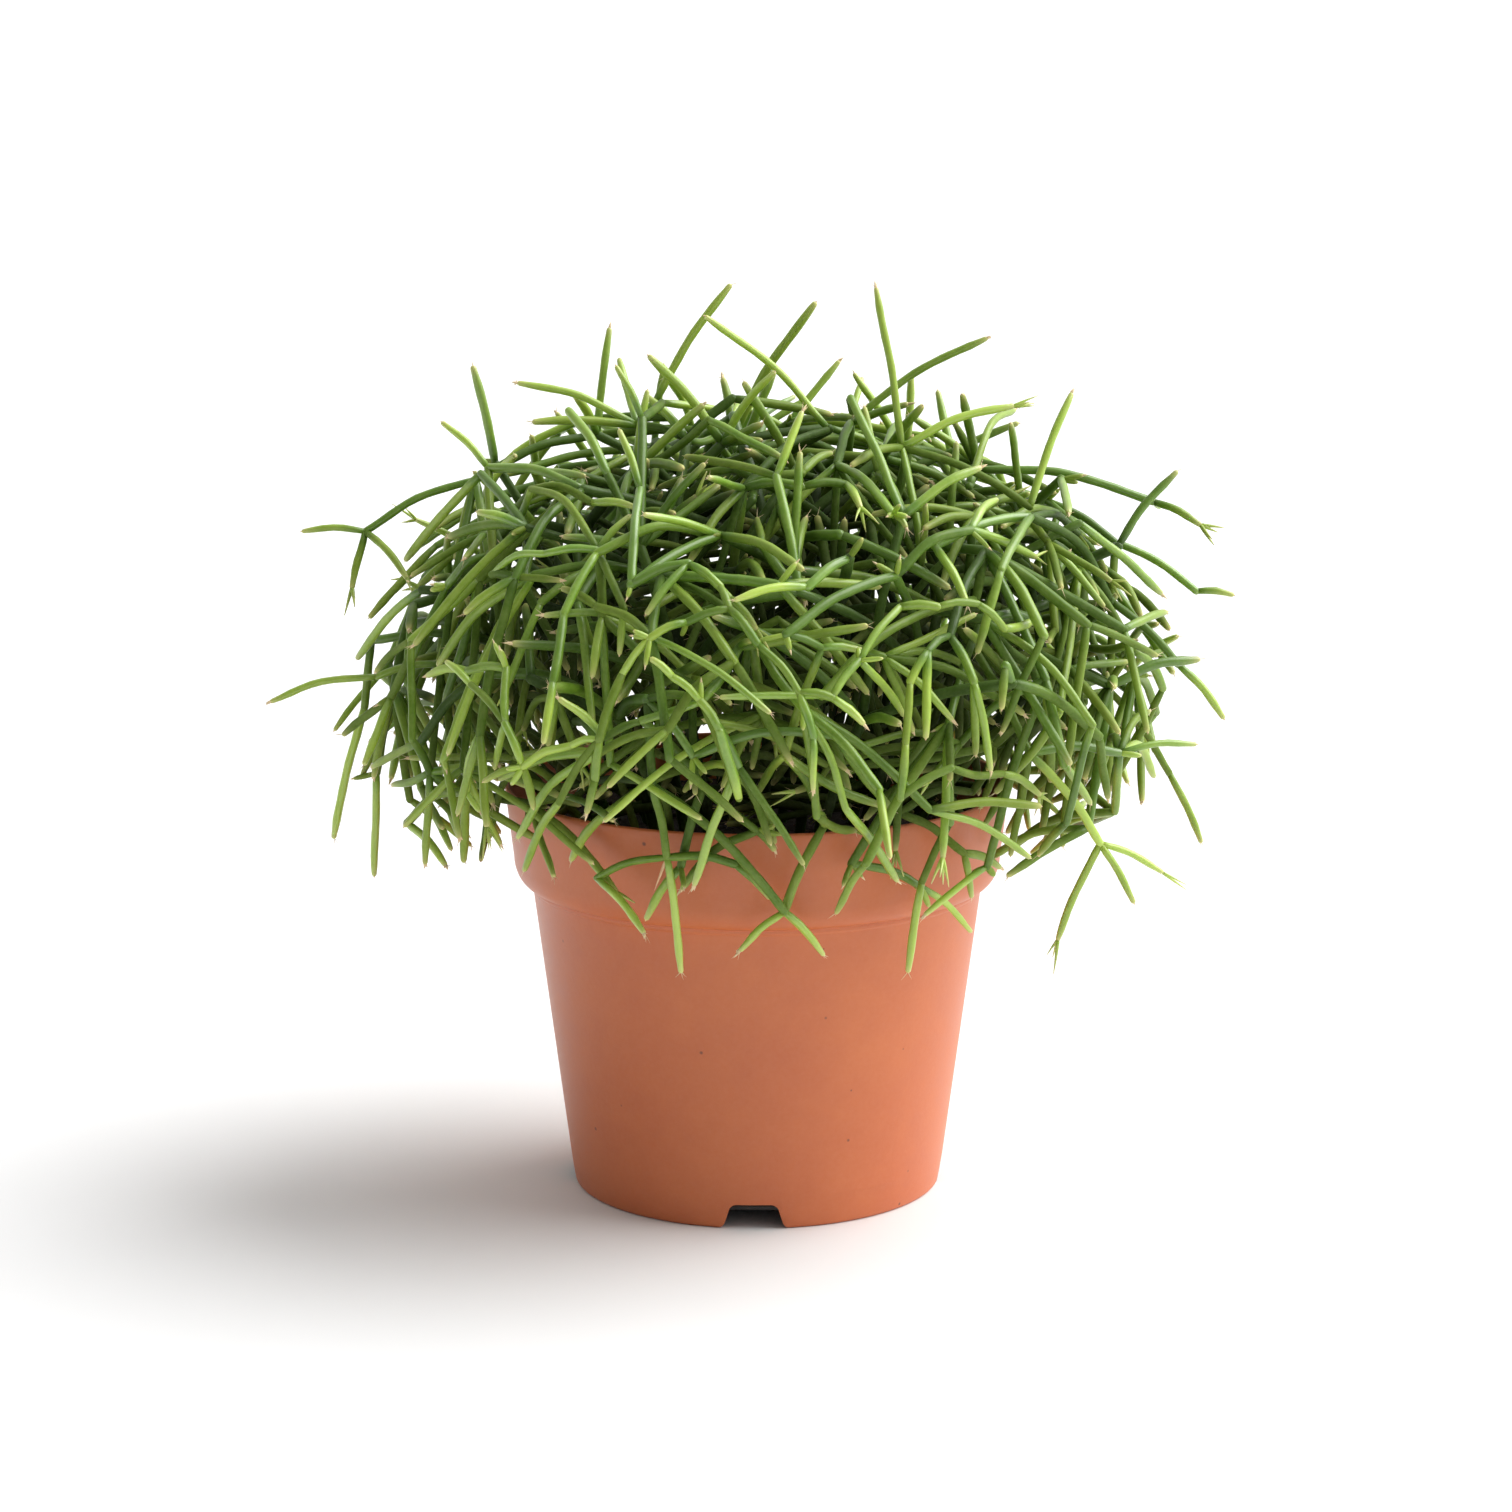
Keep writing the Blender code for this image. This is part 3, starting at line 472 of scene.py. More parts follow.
@dataclass(eq=False)
class Joint:
    """One straight or drooping length of stem between two branching points."""

    level: int
    points: Path
    start_way: Vector
    children: list["Joint"] = field(default_factory=list)
    ends_lead: bool = False

    @property
    def end(self) -> Vector:
        """The joint's tip."""
        return self.points[-1]

    @property
    def end_way(self) -> Vector:
        """The direction in which the joint ends."""
        return (self.points[-1] - self.points[-2]).normalized()

    def has_room_for(self, way: Vector, least_angle: float) -> bool:
        """Whether a direction opens wide enough from the joints that the tip holds already."""
        return all(way.angle(child.start_way) > least_angle for child in self.children)


@dataclass
class Growth:
    """Grows the cuttings and remembers the space that their joints fill."""

    pot: PotShape
    habit: Habit = Habit()
    rooting: Rooting = Rooting()
    framework: Filling = Filling(0)
    filling_in: Filling = Filling(
        joints=380,
        crown=DENSE_CROWN,
        falling=0.7,
        rising=0.6,
        outwards=3.0,
        whim=1.0,
        turn=(0.60, 1.30),
        most_cost=6.0,
    )
    showing: Filling = Filling(
        joints=0,
        crown=DENSE_CROWN,
        falling=0.3,
        rising=0.3,
        length=(0.007, 0.024, 0.050),
        turn=(0.60, 1.60),
        most_children=6,
        most_cost=12.0,
        stem_gap=0.00005,
        reach=0.1130,
    )
    crest: Filling = Filling(
        joints=700,
        crown=CREST,
        falling=0.0,
        rising=2.2,
        whim=1.5,
        share=(0.80, 1.08),
        length=(0.012, 0.022, 0.038),
        turn=(0.60, 1.30),
        bow=(-0.06, 0.10),
        compared=2,
        most_cost=7.0,
        stem_gap=0.00005,
        reach=0.1120,
    )
    thickening: Filling = Filling(
        joints=1600,
        crown=THICKET,
        falling=0.1,
        rising=0.5,
        outwards=5.0,
        whim=2.0,
        share=(0.15, 1.00),
        length=(0.010, 0.025, 0.046),
        turn=(0.70, 1.40),
        bow=(-0.06, 0.14),
        targets=9000,
        compared=3,
        most_children=6,
        most_cost=7.0,
        size_cost=0.01,
        stem_gap=0.00005,
        reach=0.1120,
        apron_z=0.1060,
        droop=0.4,
    )
    solid_joints: int = 460
    all_joints: int = 1720
    seed: int = 11
    lead_reach: float = 0.0110
    least_step: float = 0.0030
    apron_front: float = 0.040
    apron_half_width: float = 0.055
    lead_bows: tuple[float, ...] = (0.07, 0.14, 0.0, -0.06)
    depth_shifts: tuple[float, ...] = (0.0, 0.003, -0.003, 0.006, -0.006, 0.010, -0.010)
    cuttings: list[list[Joint]] = field(default_factory=list)
    count: int = 0

    def __post_init__(self) -> None:
        """Sets up the draw and the empty space."""
        self.draw = random.Random(self.seed)
        self.filling = self.framework
        self.centres = np.empty((3, 0))
        self.radii = np.empty(0)
        self.owners = np.empty(0, int)

    def grow(self) -> list[list[Joint]]:
        """Grows the joints of the solids and then the finer ones.

        Returns:
            The cuttings, each a list of joints with its main joint first.
        """
        self.plant_cuttings()
        self.grow_whorls((1,), self.solid_joints)
        for lead in LEADS:
            self.grow_lead(lead)
        self.filling = self.filling_in
        self.fill()
        self.grow_whorls((2, 3, 4), self.solid_joints)
        self.filling = self.showing
        for lead in FRONT_SHOOTS:
            self.grow_lead(lead)
        log.info("growth: %d joints with the front shoots", self.count)
        for stage in (self.crest, self.thickening):
            self.filling = stage
            self.fill()
        self.grow_whorls((2, 3, 4), self.all_joints)
        return self.cuttings

    def samples(self, points: Sequence[Vector]) -> Path:
        """Points along a path, close enough together to test its clearance."""
        found = []
        for a, b in zip(points, points[1:]):
            steps = max(1, math.ceil((b - a).length / self.habit.sample_step))
            found += [a.lerp(b, i / steps) for i in range(steps)]
        return found + [points[-1]]

    def room(self, points: Path, radius: float, owner: int, start: Optional[Vector]) -> float:
        """The smallest gap from a path to the joints that are there.

        Args:
            points: Points along the path.
            radius: The radius of the joint that follows it.
            owner: The cutting that it belongs to.
            start: Where it grows from, where its own cutting may touch it, or None.

        Returns:
            The gap, at most the room that is wanted.
        """
        path = np.array([tuple(p) for p in points])
        middle = (path.min(axis=0) + path.max(axis=0)) / 2
        reach = (path.max(axis=0) - path.min(axis=0)) / 2 + self.habit.room_wanted + 2 * radius
        xs, ys, zs = self.centres
        near = np.abs(xs - middle[0]) < reach[0]
        near &= np.abs(ys - middle[1]) < reach[1]
        near &= np.abs(zs - middle[2]) < reach[2]
        near = np.flatnonzero(near)
        if start is not None and len(near):
            gaps = np.abs(self.centres[:, near] - np.array(tuple(start))[:, None]).max(axis=0)
            near = near[(gaps > self.habit.own_joint_reach) | (self.owners[near] != owner)]
        if not len(near):
            return self.habit.room_wanted
        radii = self.radii[near]
        dx = path[:, None, 0] - xs[None, near]
        dy = path[:, None, 1] - ys[None, near]
        dz = path[:, None, 2] - zs[None, near]
        squares = dx * dx + dy * dy + dz * dz - self.habit.sample_step**2 / 2
        apart = np.sqrt(np.maximum(squares, 0))
        return float((apart - radii[None, :]).min()) - radius

    def keep(self, joint: Joint, owner: int) -> None:
        """Adds a joint to its cutting, and its space to the space that is filled."""
        path = self.samples(joint.points)
        self.centres = np.hstack([self.centres, np.array([tuple(p) for p in path]).T])
        self.radii = np.append(self.radii, np.full(len(path), self.habit.joint_radius[joint.level]))
        self.owners = np.append(self.owners, np.full(len(path), owner))
        self.cuttings[owner].append(joint)
        self.count += 1

    def fits(self, points: Path, level: int, owner: int, start: Optional[Vector]) -> Optional[float]:
        """The room round a path.

        Args:
            points: The path's points.
            level: The level of the joint that follows it.
            owner: The cutting that it belongs to.
            start: Where it grows from, or None for a main joint.

        Returns:
            The smallest gap, or None where it meets the pot, the soil or another joint.
        """
        radius = self.habit.joint_radius[level]
        path = self.samples(points)
        if not all(self.pot.clears(p, radius) for p in path):
            return None
        if max(max(abs(p.x), abs(p.y)) for p in path) > self.filling.reach:
            return None
        if any(self.over_collar(p) for p in path):
            return None
        gap = self.room(path, radius, owner, start)
        return gap if gap > self.filling.stem_gap else None

    def over_collar(self, point: Vector) -> bool:
        """Whether a point hides the front of the collar, which this stage leaves bare."""
        low = point.z < self.filling.apron_z
        return low and point.y < -self.apron_front and abs(point.x) < self.apron_half_width

    def plant_cuttings(self) -> None:
        """Grows the main joints: they stand on a spiral, lean outwards and bend over."""
        root = self.rooting
        for index in range(root.count):
            share = (index + 0.5) / root.count
            turn = index * root.golden_angle
            self.cuttings.append([])
            for _ in range(self.filling.tries):
                place = turn + self.draw.uniform(*root.turn_spread)
                radius = root.radius * math.sqrt(share) * self.draw.uniform(*root.radius_spread)
                leaning = (root.lean_at_edge - root.lean_at_centre) * share
                lean = leaning * self.draw.uniform(*root.lean_spread)
                joint = self.main_joint(place, radius, root.lean_at_centre + lean, share)
                if self.fits(joint.points[1:], 0, index, None) is not None:
                    self.keep(joint, index)
                    break

    def main_joint(self, place: float, radius: float, lean: float, share: float) -> Joint:
        """One main joint, from the foot of its root to its first whorl.

        Args:
            place: Its turn round the pot's axis.
            radius: Its distance from the axis.
            lean: How far it leans outwards.
            share: How far along the spiral it stands, from 0 to 1.

        Returns:
            The joint.
        """
        root = self.rooting
        x, y = radius * math.cos(place), radius * math.sin(place)
        foot = Vector((x, y, self.pot.soil_height(x, y)))
        outwards = Vector((math.cos(place), math.sin(place), 0))
        way = Vector((0, 0, math.cos(lean))) + outwards * math.sin(lean)
        shortest, longest = self.habit.joint_length[0]
        length = longest + (shortest - longest) * share * self.draw.uniform(*root.length_spread)
        start = foot + way * root.straight_length
        points = [foot - way * root.root_length]
        points += self.bent_path(start, way, length - root.straight_length, 0, 3)
        return Joint(0, points, way)

    def grow_whorls(self, levels: Iterable[int], most: int) -> None:
        """Grows whorls on the joints of the levels before, where there is most room.

        Args:
            levels: The levels of the new joints.
            most: The number of joints at which to stop.
        """
        carriers = [(n, j) for n, c in enumerate(self.cuttings) for j in c if j.level + 1 in levels]
        carriers = [(owner, joint) for owner, joint in carriers if not joint.ends_lead]
        ahead = self.framework.length[0]
        carriers.sort(key=lambda carrier: -self.room_at(carrier[1].end + carrier[1].end_way * ahead))
        for owner, carrier in carriers:
            turn = self.draw.uniform(0, TURN)
            wanted = self.habit.whorl[carrier.level + 1] + self.draw.choice(self.habit.whorl_spread)
            missing = min(wanted, self.framework.most_children) - len(carrier.children)
            for number in range(missing):
                if self.count < most:
                    self.grow_child(carrier, owner, turn + TURN * number / missing)

    def room_at(self, point: Vector) -> float:
        """The distance from a point to the nearest joint."""
        dx, dy, dz = self.centres - np.array(tuple(point))[:, None]
        return math.sqrt((dx * dx + dy * dy + dz * dz).min())

    def grow_child(self, carrier: Joint, owner: int, turn: float) -> None:
        """Grows the best of several joints that could grow out of a tip.

        Args:
            carrier: The joint whose tip it grows from.
            owner: The cutting that it belongs to.
            turn: Its turn about the carrier, roughly.
        """
        habit, draw = self.habit, self.draw
        best, best_score = None, -math.inf
        level = carrier.level + 1
        for _ in range(self.framework.tries):
            turned_by = turn + draw.uniform(-habit.whorl_unevenness, habit.whorl_unevenness)
            way = spread(carrier.end_way, turned_by, draw.uniform(*habit.opening))
            length = draw.uniform(*habit.joint_length[level])
            spans = 3 if length > 2 * habit.long_span else 2
            points = self.bent_path(carrier.end, way, length, level, spans)
            share = self.filling.crown.share(points[-1])
            if share > habit.share_allowed[level] * draw.uniform(*habit.share_spread):
                continue
            if not carrier.has_room_for(way, habit.least_angle):
                continue
            gap = self.fits(points, level, owner, carrier.end)
            if gap is None:
                continue
            score = min(gap, habit.room_wanted) / habit.room_wanted
            score -= habit.share_weight * abs(share - habit.share_wanted[level])
            if score > best_score:
                best, best_score = Joint(level, points, way), score
        if best:
            self.attach(best, carrier, owner)

    def attach(self, joint: Joint, carrier: Joint, owner: int) -> None:
        """Hangs a finished joint on its carrier."""
        carrier.children.append(joint)
        self.keep(joint, owner)

    def grow_lead(self, lead: Sequence[Place]) -> None:
        """Grows a leading shoot, joint by joint, from the nearest whorl that it can reach.

        Args:
            lead: Its points, in millimetres.
        """
        points = [Vector(p) / 1000 for p in lead]
        tips = [(n, j) for n, c in enumerate(self.cuttings) for j in c]
        owner, carrier = min(tips, key=lambda tip: (tip[1].end - points[0]).length)
        if (carrier.end - points[0]).length > self.lead_reach:
            owner, carrier = self.reach(points[0], self.lead_bows)
        for point in points[1:]:
            if carrier is None:
                return
            if (carrier.end - point).length > self.least_step:
                carrier = self.joint_to(carrier, owner, point, self.lead_bows)
        if carrier:
            carrier.ends_lead = True

    def fill(self) -> None:
        """Grows joints to the emptiest of the points drawn in the crown."""
        stage = self.filling
        for _ in range(stage.targets):
            if self.count >= stage.joints:
                return
            points = [self.crown_point() for _ in range(stage.compared)]
            self.reach(max(points, key=self.room_at), [self.draw.uniform(*stage.bow)])

    def crown_point(self) -> Vector:
        """A random point in the outer part of the crown, clear of the pot."""
        crown, (least, most) = self.filling.crown, self.filling.share
        while True:
            x, y = self.draw.uniform(-1, 1), self.draw.uniform(-1, 1)
            z = self.draw.uniform(crown.middle_z - crown.drop, crown.middle_z + crown.rise)
            point = Vector((crown.middle_x + x * crown.radius, y * crown.radius, z))
            outward = least < crown.share(point) < most
            if outward and self.pot.clears(point, self.habit.joint_radius[0]):
                return point

    def reach(self, point: Vector, bows: Sequence[float]) -> tuple[int, Optional[Joint]]:
        """Grows a joint to a point from the whorl that suits it best.

        Args:
            point: Where the joint should end.
            bows: The bows to try, each as a share of its length.

        Returns:
            The cutting's number and the joint, or no joint.
        """
        tips = []
        for owner, cutting in enumerate(self.cuttings):
            crowding = self.filling.size_cost * len(cutting)
            for index, joint in enumerate(cutting):
                cost = self.reach_cost(joint, point)
                if cost < math.inf:
                    luck = self.draw.random() * self.filling.whim if self.filling.whim else 0.0
                    tips.append((cost + crowding + luck, owner, index))
        for cost, owner, index in sorted(tips)[: self.filling.tries]:
            if cost > self.filling.most_cost:
                break
            joint = self.joint_to(self.cuttings[owner][index], owner, point, bows)
            if joint:
                return owner, joint
        return 0, None

    def reach_cost(self, joint: Joint, point: Vector) -> float:
        """How badly a joint's tip suits as the start of a joint to a point.

        Args:
            joint: The joint with that tip.
            point: Where the new joint would end.

        Returns:
            The cost, which is endless where it is too far, too near or bent back.
        """
        stage = self.filling
        gap = point - joint.end
        if joint.ends_lead or len(joint.children) >= stage.most_children:
            return math.inf
        if not stage.length[0] < gap.length < stage.length[2]:
            return math.inf
        turn = joint.end_way.angle(gap)
        if turn > stage.turn[1] or stage.crown.share(joint.end) > 1.0:
            return math.inf
        away = abs(gap.length - stage.length[1]) / stage.length_ease
        away += abs(turn - stage.turn[0]) / stage.turn_ease
        crown = stage.crown
        hanging = min(1.0, max(0.0, (crown.middle_z - point.z) / crown.drop + stage.hanging_from))
        rising = min(1.0, max(0.0, (point.z - crown.middle_z) / crown.rise)) * stage.rising
        climb = gap.z / gap.length
        bent = (1 + climb) * (stage.least_bend_cost + stage.falling * hanging) + (1 - climb) * rising
        if stage.outwards:
            bent += stage.outwards * abs(crown.share(point) - crown.share(joint.end))
        return away + bent - stage.branch_gain * min(2, len(joint.children))

    def joint_to(
        self, carrier: Joint, owner: int, point: Vector, bows: Sequence[float]
    ) -> Optional[Joint]:
        """Grows a joint from a carrier's tip to a point, moved in depth or bowed until it fits.

        Args:
            carrier: The joint whose tip it grows from.
            owner: The cutting that it belongs to.
            point: Where it should end.
            bows: The bows to try.

        Returns:
            The joint, or None where none fits.
        """
        level = min(carrier.level + 1, len(self.habit.joint_radius) - 1)
        for shift in self.depth_shifts:
            for bow in bows:
                points = self.bowed_path(carrier.end, point + Vector((0, shift, 0)), bow)
                way = (points[1] - points[0]).normalized()
                if not carrier.has_room_for(way, self.habit.least_angle):
                    continue
                if self.fits(points, level, owner, carrier.end) is not None:
                    joint = Joint(level, points, way)
                    self.attach(joint, carrier, owner)
                    return joint
        return None

    def bent_path(self, start: Vector, way: Vector, length: float, level: int, spans: int) -> Path:
        """A path that sets out in a direction and bends over under its weight, more so further out.

        Args:
            start: Where it starts.
            way: The direction in which it sets out.
            length: Its length.
            level: The level of the joint that follows it.
            spans: The number of straight spans.

        Returns:
            The path's points.
        """
        out = math.hypot(start.x, start.y) / self.framework.crown.radius
        weight = self.habit.droop[level] * (self.habit.droop_at_axis + out) * self.filling.droop
        fall = Vector((0, 0, -weight))
        points = [start]
        for span in range(spans):
            share = (span + 0.5) / spans
            points.append(points[-1] + (way + fall * share).normalized() * (length / spans))
        return points

    def bowed_path(self, start: Vector, end: Vector, bow: float) -> Path:
        """A path between two points that arches up.

        Args:
            start: Where it starts.
            end: Where it ends.
            bow: The height of the arch as a share of the length.

        Returns:
            The path's points.
        """
        chord = end - start
        spans = 3 if chord.length > 2 * self.habit.long_span else 2
        lift = Vector((0, 0, 1)) - chord * (chord.z / chord.length_squared)
        shares = [i / spans for i in range(spans + 1)]
        return [start.lerp(end, s) + lift * (4 * s * (1 - s) * bow * chord.length) for s in shares]


# Meshes


def quad_rows(start: int, rows: int, sides: int) -> list[Face]:
    """The faces between rings of points that follow one another.

    Args:
        start: The number of the first ring's first point.
        rows: The number of rows of faces.
        sides: The number of points in a ring.

    Returns:
        The faces, row by row.
    """
    faces = []
    for row in range(rows):
        low, high = start + row * sides, start + (row + 1) * sides
        for k in range(sides):
            j = (k + 1) % sides
            faces.append((low + k, low + j, high + j, high + k))
    return faces


def add_object(name: str, data: bpy.types.ID) -> bpy.types.Object:
    """Adds an object to the scene.

    Args:
        name: Its name.
        data: Its mesh, light or camera.

    Returns:
        The object.
    """
    obj = bpy.data.objects.new(name, data)
    bpy.context.scene.collection.objects.link(obj)
    return obj


class MeshSketch:
    """Collects closed tubes and blobs with a value at each point, and makes one object of them."""

    def __init__(self, name: str) -> None:
        """Starts an empty sketch.

        Args:
            name: The name of the piece.
        """
        self.name = name
        self.points: list[Place] = []
        self.faces: list[Face] = []
        self.values: list[Colour] = []

    def tube(self, path: Path, radii: Sequence[float], sides: int, values: Sequence[Colour]) -> None:
        """Adds a closed tube along a path.

        Args:
            path: The middle line.
            radii: The radius at each of its points.
            sides: The number of sides.
            values: The values at each of its points.
        """
        angles = [TURN * k / sides for k in range(sides)]
        turns = [(math.cos(angle), math.sin(angle)) for angle in angles]
        first, _ = across((path[1] - path[0]).normalized())
        start = len(self.points)
        last = len(path) - 1
        for i, point in enumerate(path):
            way = (path[min(i + 1, last)] - path[max(i - 1, 0)]).normalized()
            first = (first - way * first.dot(way)).normalized()
            second = way.cross(first)
            for cosine, sine in turns:
                self.points.append(tuple(point + (first * cosine + second * sine) * radii[i]))
            self.values += [values[i]] * sides
        self.faces += quad_rows(start, last, sides)
        self.close(path[0], start, sides, values[0], True)
        self.close(path[-1], start + last * sides, sides, values[-1], False)

    def close(self, pole: Vector, ring: int, sides: int, value: Colour, backwards: bool) -> None:
        """Closes a ring of points with a fan of triangles.

        Args:
            pole: The point in the fan's middle.
            ring: The number of the ring's first point.
            sides: The number of points in it.
            value: The value at the pole.
            backwards: Whether the fan looks back along the tube.
        """
        middle = len(self.points)
        self.points.append(tuple(pole))
        self.values.append(value)
        for k in range(sides):
            near, far = ring + k, ring + (k + 1) % sides
            self.faces.append((middle, far, near) if backwards else (middle, near, far))

    def blob(self, middle: Vector, up: Vector, size: Vector, value: Colour, seed: float) -> None:
        """Adds a small uneven lump.

        Args:
            middle: Its middle.
            up: The direction of its height.
            size: Its half sizes, with the height last.
            value: The value at its points.
            seed: A number that makes it unlike the others.
        """
        first, second = across(up)
        start, sides = len(self.points), 6
        for height, width in ((-0.75, 0.66), (0.0, 1.0), (0.75, 0.66)):
            for k in range(sides):
                turn = TURN * (k + height) / sides
                side = first * (math.cos(turn) * size.x) + second * (math.sin(turn) * size.y)
                place = middle + side * width + up * (height * size.z)
                uneven = 1 + 0.35 * noise.noise(place * 900 + Vector((seed, 0, 0)))
                self.points.append(tuple(middle + (place - middle) * uneven))
        self.values += [value] * (3 * sides)
        self.faces += quad_rows(start, 2, sides)
        self.close(middle - up * size.z, start, sides, value, True)
        self.close(middle + up * size.z, start + 2 * sides, sides, value, False)

    def make(self, material: bpy.types.Material) -> bpy.types.Object:
        """Turns the sketch into a smooth object of the scene.

        Args:
            material: Its material.

        Returns:
            The object.
        """
        mesh = bpy.data.meshes.new(self.name)
        mesh.from_pydata(self.points, [], self.faces)
        attribute = mesh.attributes.new(VALUES, "FLOAT_COLOR", "POINT")
        colours = np.ones((len(self.points), 4), np.float32)
        colours[:, :3] = np.array(self.values, np.float32)
        attribute.data.foreach_set("color", colours.ravel())
        mesh.shade_smooth()
        mesh.materials.append(material)
        return add_object(self.name, mesh)


def dress(obj: bpy.types.Object, slot: str, *nodes: str) -> bpy.types.Object:
    """Ties a piece to the frame and reports it.

    Args:
        obj: The piece.
        slot: The record's material slot; not used.
        nodes: The nodes that it stands for.

    Returns:
        The piece.
    """
    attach(obj, "root")
    if nodes:
        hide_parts(*nodes)
    triangles = sum(len(face.vertices) - 2 for face in obj.data.polygons)
    log.info("piece %s: %d triangles", obj.name, triangles)
    return obj


# Shader groups and finishes


class Graph:
    """A thin layer over a node tree, to build shaders in few words."""

    def __init__(self, tree: bpy.types.NodeTree) -> None:
        """Starts with a tree that exists.

        Args:
            tree: The node tree to build in.
        """
        self.tree = tree

    def add(self, kind: str, settings: Optional[dict] = None, **inputs: object) -> bpy.types.Node:
        """Adds a node.

        Args:
            kind: The node's type name.
            settings: The node's own settings, by name.
            inputs: Values or links for its sockets, with _ for a space in a name.

        Returns:
            The node.
        """
        node = self.tree.nodes.new(kind)
        for name, value in (settings or {}).items():
            setattr(node, name, value)
        for name, value in inputs.items():
            self.feed(node.inputs[name.replace("_", " ")], value)
        return node

    def feed(self, socket: bpy.types.NodeSocket, value: object) -> None:
        """Sets a socket to a value or links it to another socket."""
        if isinstance(value, bpy.types.NodeSocket):
            self.tree.links.new(value, socket)
        else:
            socket.default_value = value

    def math(self, operation: str, first: object, second: object = 0.0) -> bpy.types.NodeSocket:
        """Adds a sum on one or two numbers.

        Args:
            operation: The name of the sum.
            first: The first number or socket.
            second: The second one.

        Returns:
            The result's socket.
        """
        node = self.tree.nodes.new("ShaderNodeMath")
        node.operation = operation
        self.feed(node.inputs[0], first)
        self.feed(node.inputs[1], second)
        return node.outputs[0]

    def mix(self, share: object, first: object, second: object, blend: str = "MIX") -> bpy.types.NodeSocket:
        """Mixes two colours.

        Args:
            share: How much of the second one there is.
            first: The first colour or socket.
            second: The second one.
            blend: The way in which they mix.

        Returns:
            The result's socket.
        """
        node = self.tree.nodes.new("ShaderNodeMix")
        node.data_type = "RGBA"
        node.blend_type = blend
        self.feed(node.inputs[0], share)
        self.feed(node.inputs[6], first)
        self.feed(node.inputs[7], second)
        return node.outputs[2]

    def ramp(self, share: object, stops: Sequence[tuple[float, Colour]]) -> bpy.types.NodeSocket:
        """Turns a number into a colour.

        Args:
            share: The number's socket.
            stops: The places of the colours and the colours.

        Returns:
            The result's socket.
        """
        node = self.tree.nodes.new("ShaderNodeValToRGB")
        elements = node.color_ramp.elements
        while len(elements) < len(stops):
            elements.new(0.5)
        for element, (place, colour) in zip(elements, stops):
            element.position = place
            element.color = (*colour, 1.0)
        self.feed(node.inputs[0], share)
        return node.outputs[0]

    def use(self, group: bpy.types.NodeTree, **inputs: object) -> bpy.types.Node:
        """Places a shader group with its own values."""
        return self.add("ShaderNodeGroup", {"node_tree": group}, **inputs)

    def values(self) -> list[bpy.types.NodeSocket]:
        """The three values that the points of a sketch carry."""
        carried = self.add("ShaderNodeAttribute", {"attribute_name": VALUES})
        return list(self.add("ShaderNodeSeparateColor", Color=carried.outputs["Color"]).outputs)

    def between(self, value: object, low: object, high: object, start: float = 0.0) -> bpy.types.NodeSocket:
        """Maps a number that runs up to 1 to another range.

        Args:
            value: The number's socket.
            low: What it gives at the start.
            high: What it gives at 1.
            start: The value at which the range starts.

        Returns:
            The result's socket.
        """
        ends = {"To_Min": low, "To_Max": high}
        return self.add("ShaderNodeMapRange", Value=value, From_Min=start, **ends).outputs[0]

    def roughen(self, shader: bpy.types.Node, strength: float, depth: float, height: object) -> None:
        """Gives a shader fine relief.

        Args:
            shader: The Principled shader.
            strength: The relief's strength.
            depth: Its depth.
            height: The socket of its height.
        """
        relief = self.add("ShaderNodeBump", Strength=strength, Distance=depth, Height=height)
        self.feed(shader.inputs["Normal"], relief.outputs[0])


def rgba(colour: Colour) -> tuple[float, float, float, float]:
    """A colour with full opacity."""
    return (*colour, 1.0)


def make_group(
    name: str, sockets: Sequence[tuple[str, str, str]], build: Callable[[Graph, object, object], None]
) -> bpy.types.NodeTree:
    """Makes a shader group, or finds it if it is there.

    Args:
        name: The group's name.
        sockets: For each socket its name, INPUT or OUTPUT, and its type.
        build: A function that takes the graph and the group's two end nodes and fills it.

    Returns:
        The group.
    """
    if name in bpy.data.node_groups:
        return bpy.data.node_groups[name]
    tree = bpy.data.node_groups.new(name, "ShaderNodeTree")
    for label, way, kind in sockets:
        tree.interface.new_socket(label, in_out=way, socket_type=kind)
    graph = Graph(tree)
    build(graph, graph.add("NodeGroupInput"), graph.add("NodeGroupOutput"))
    return tree


# How the mottle mixes its broad patches with its fine ones, and how soft a speck's edge is
FINE_PER_BROAD = 5.3
FINE_SHARE = 0.35
BROAD_SHARE = 0.65
SPECK_CORE = 0.45


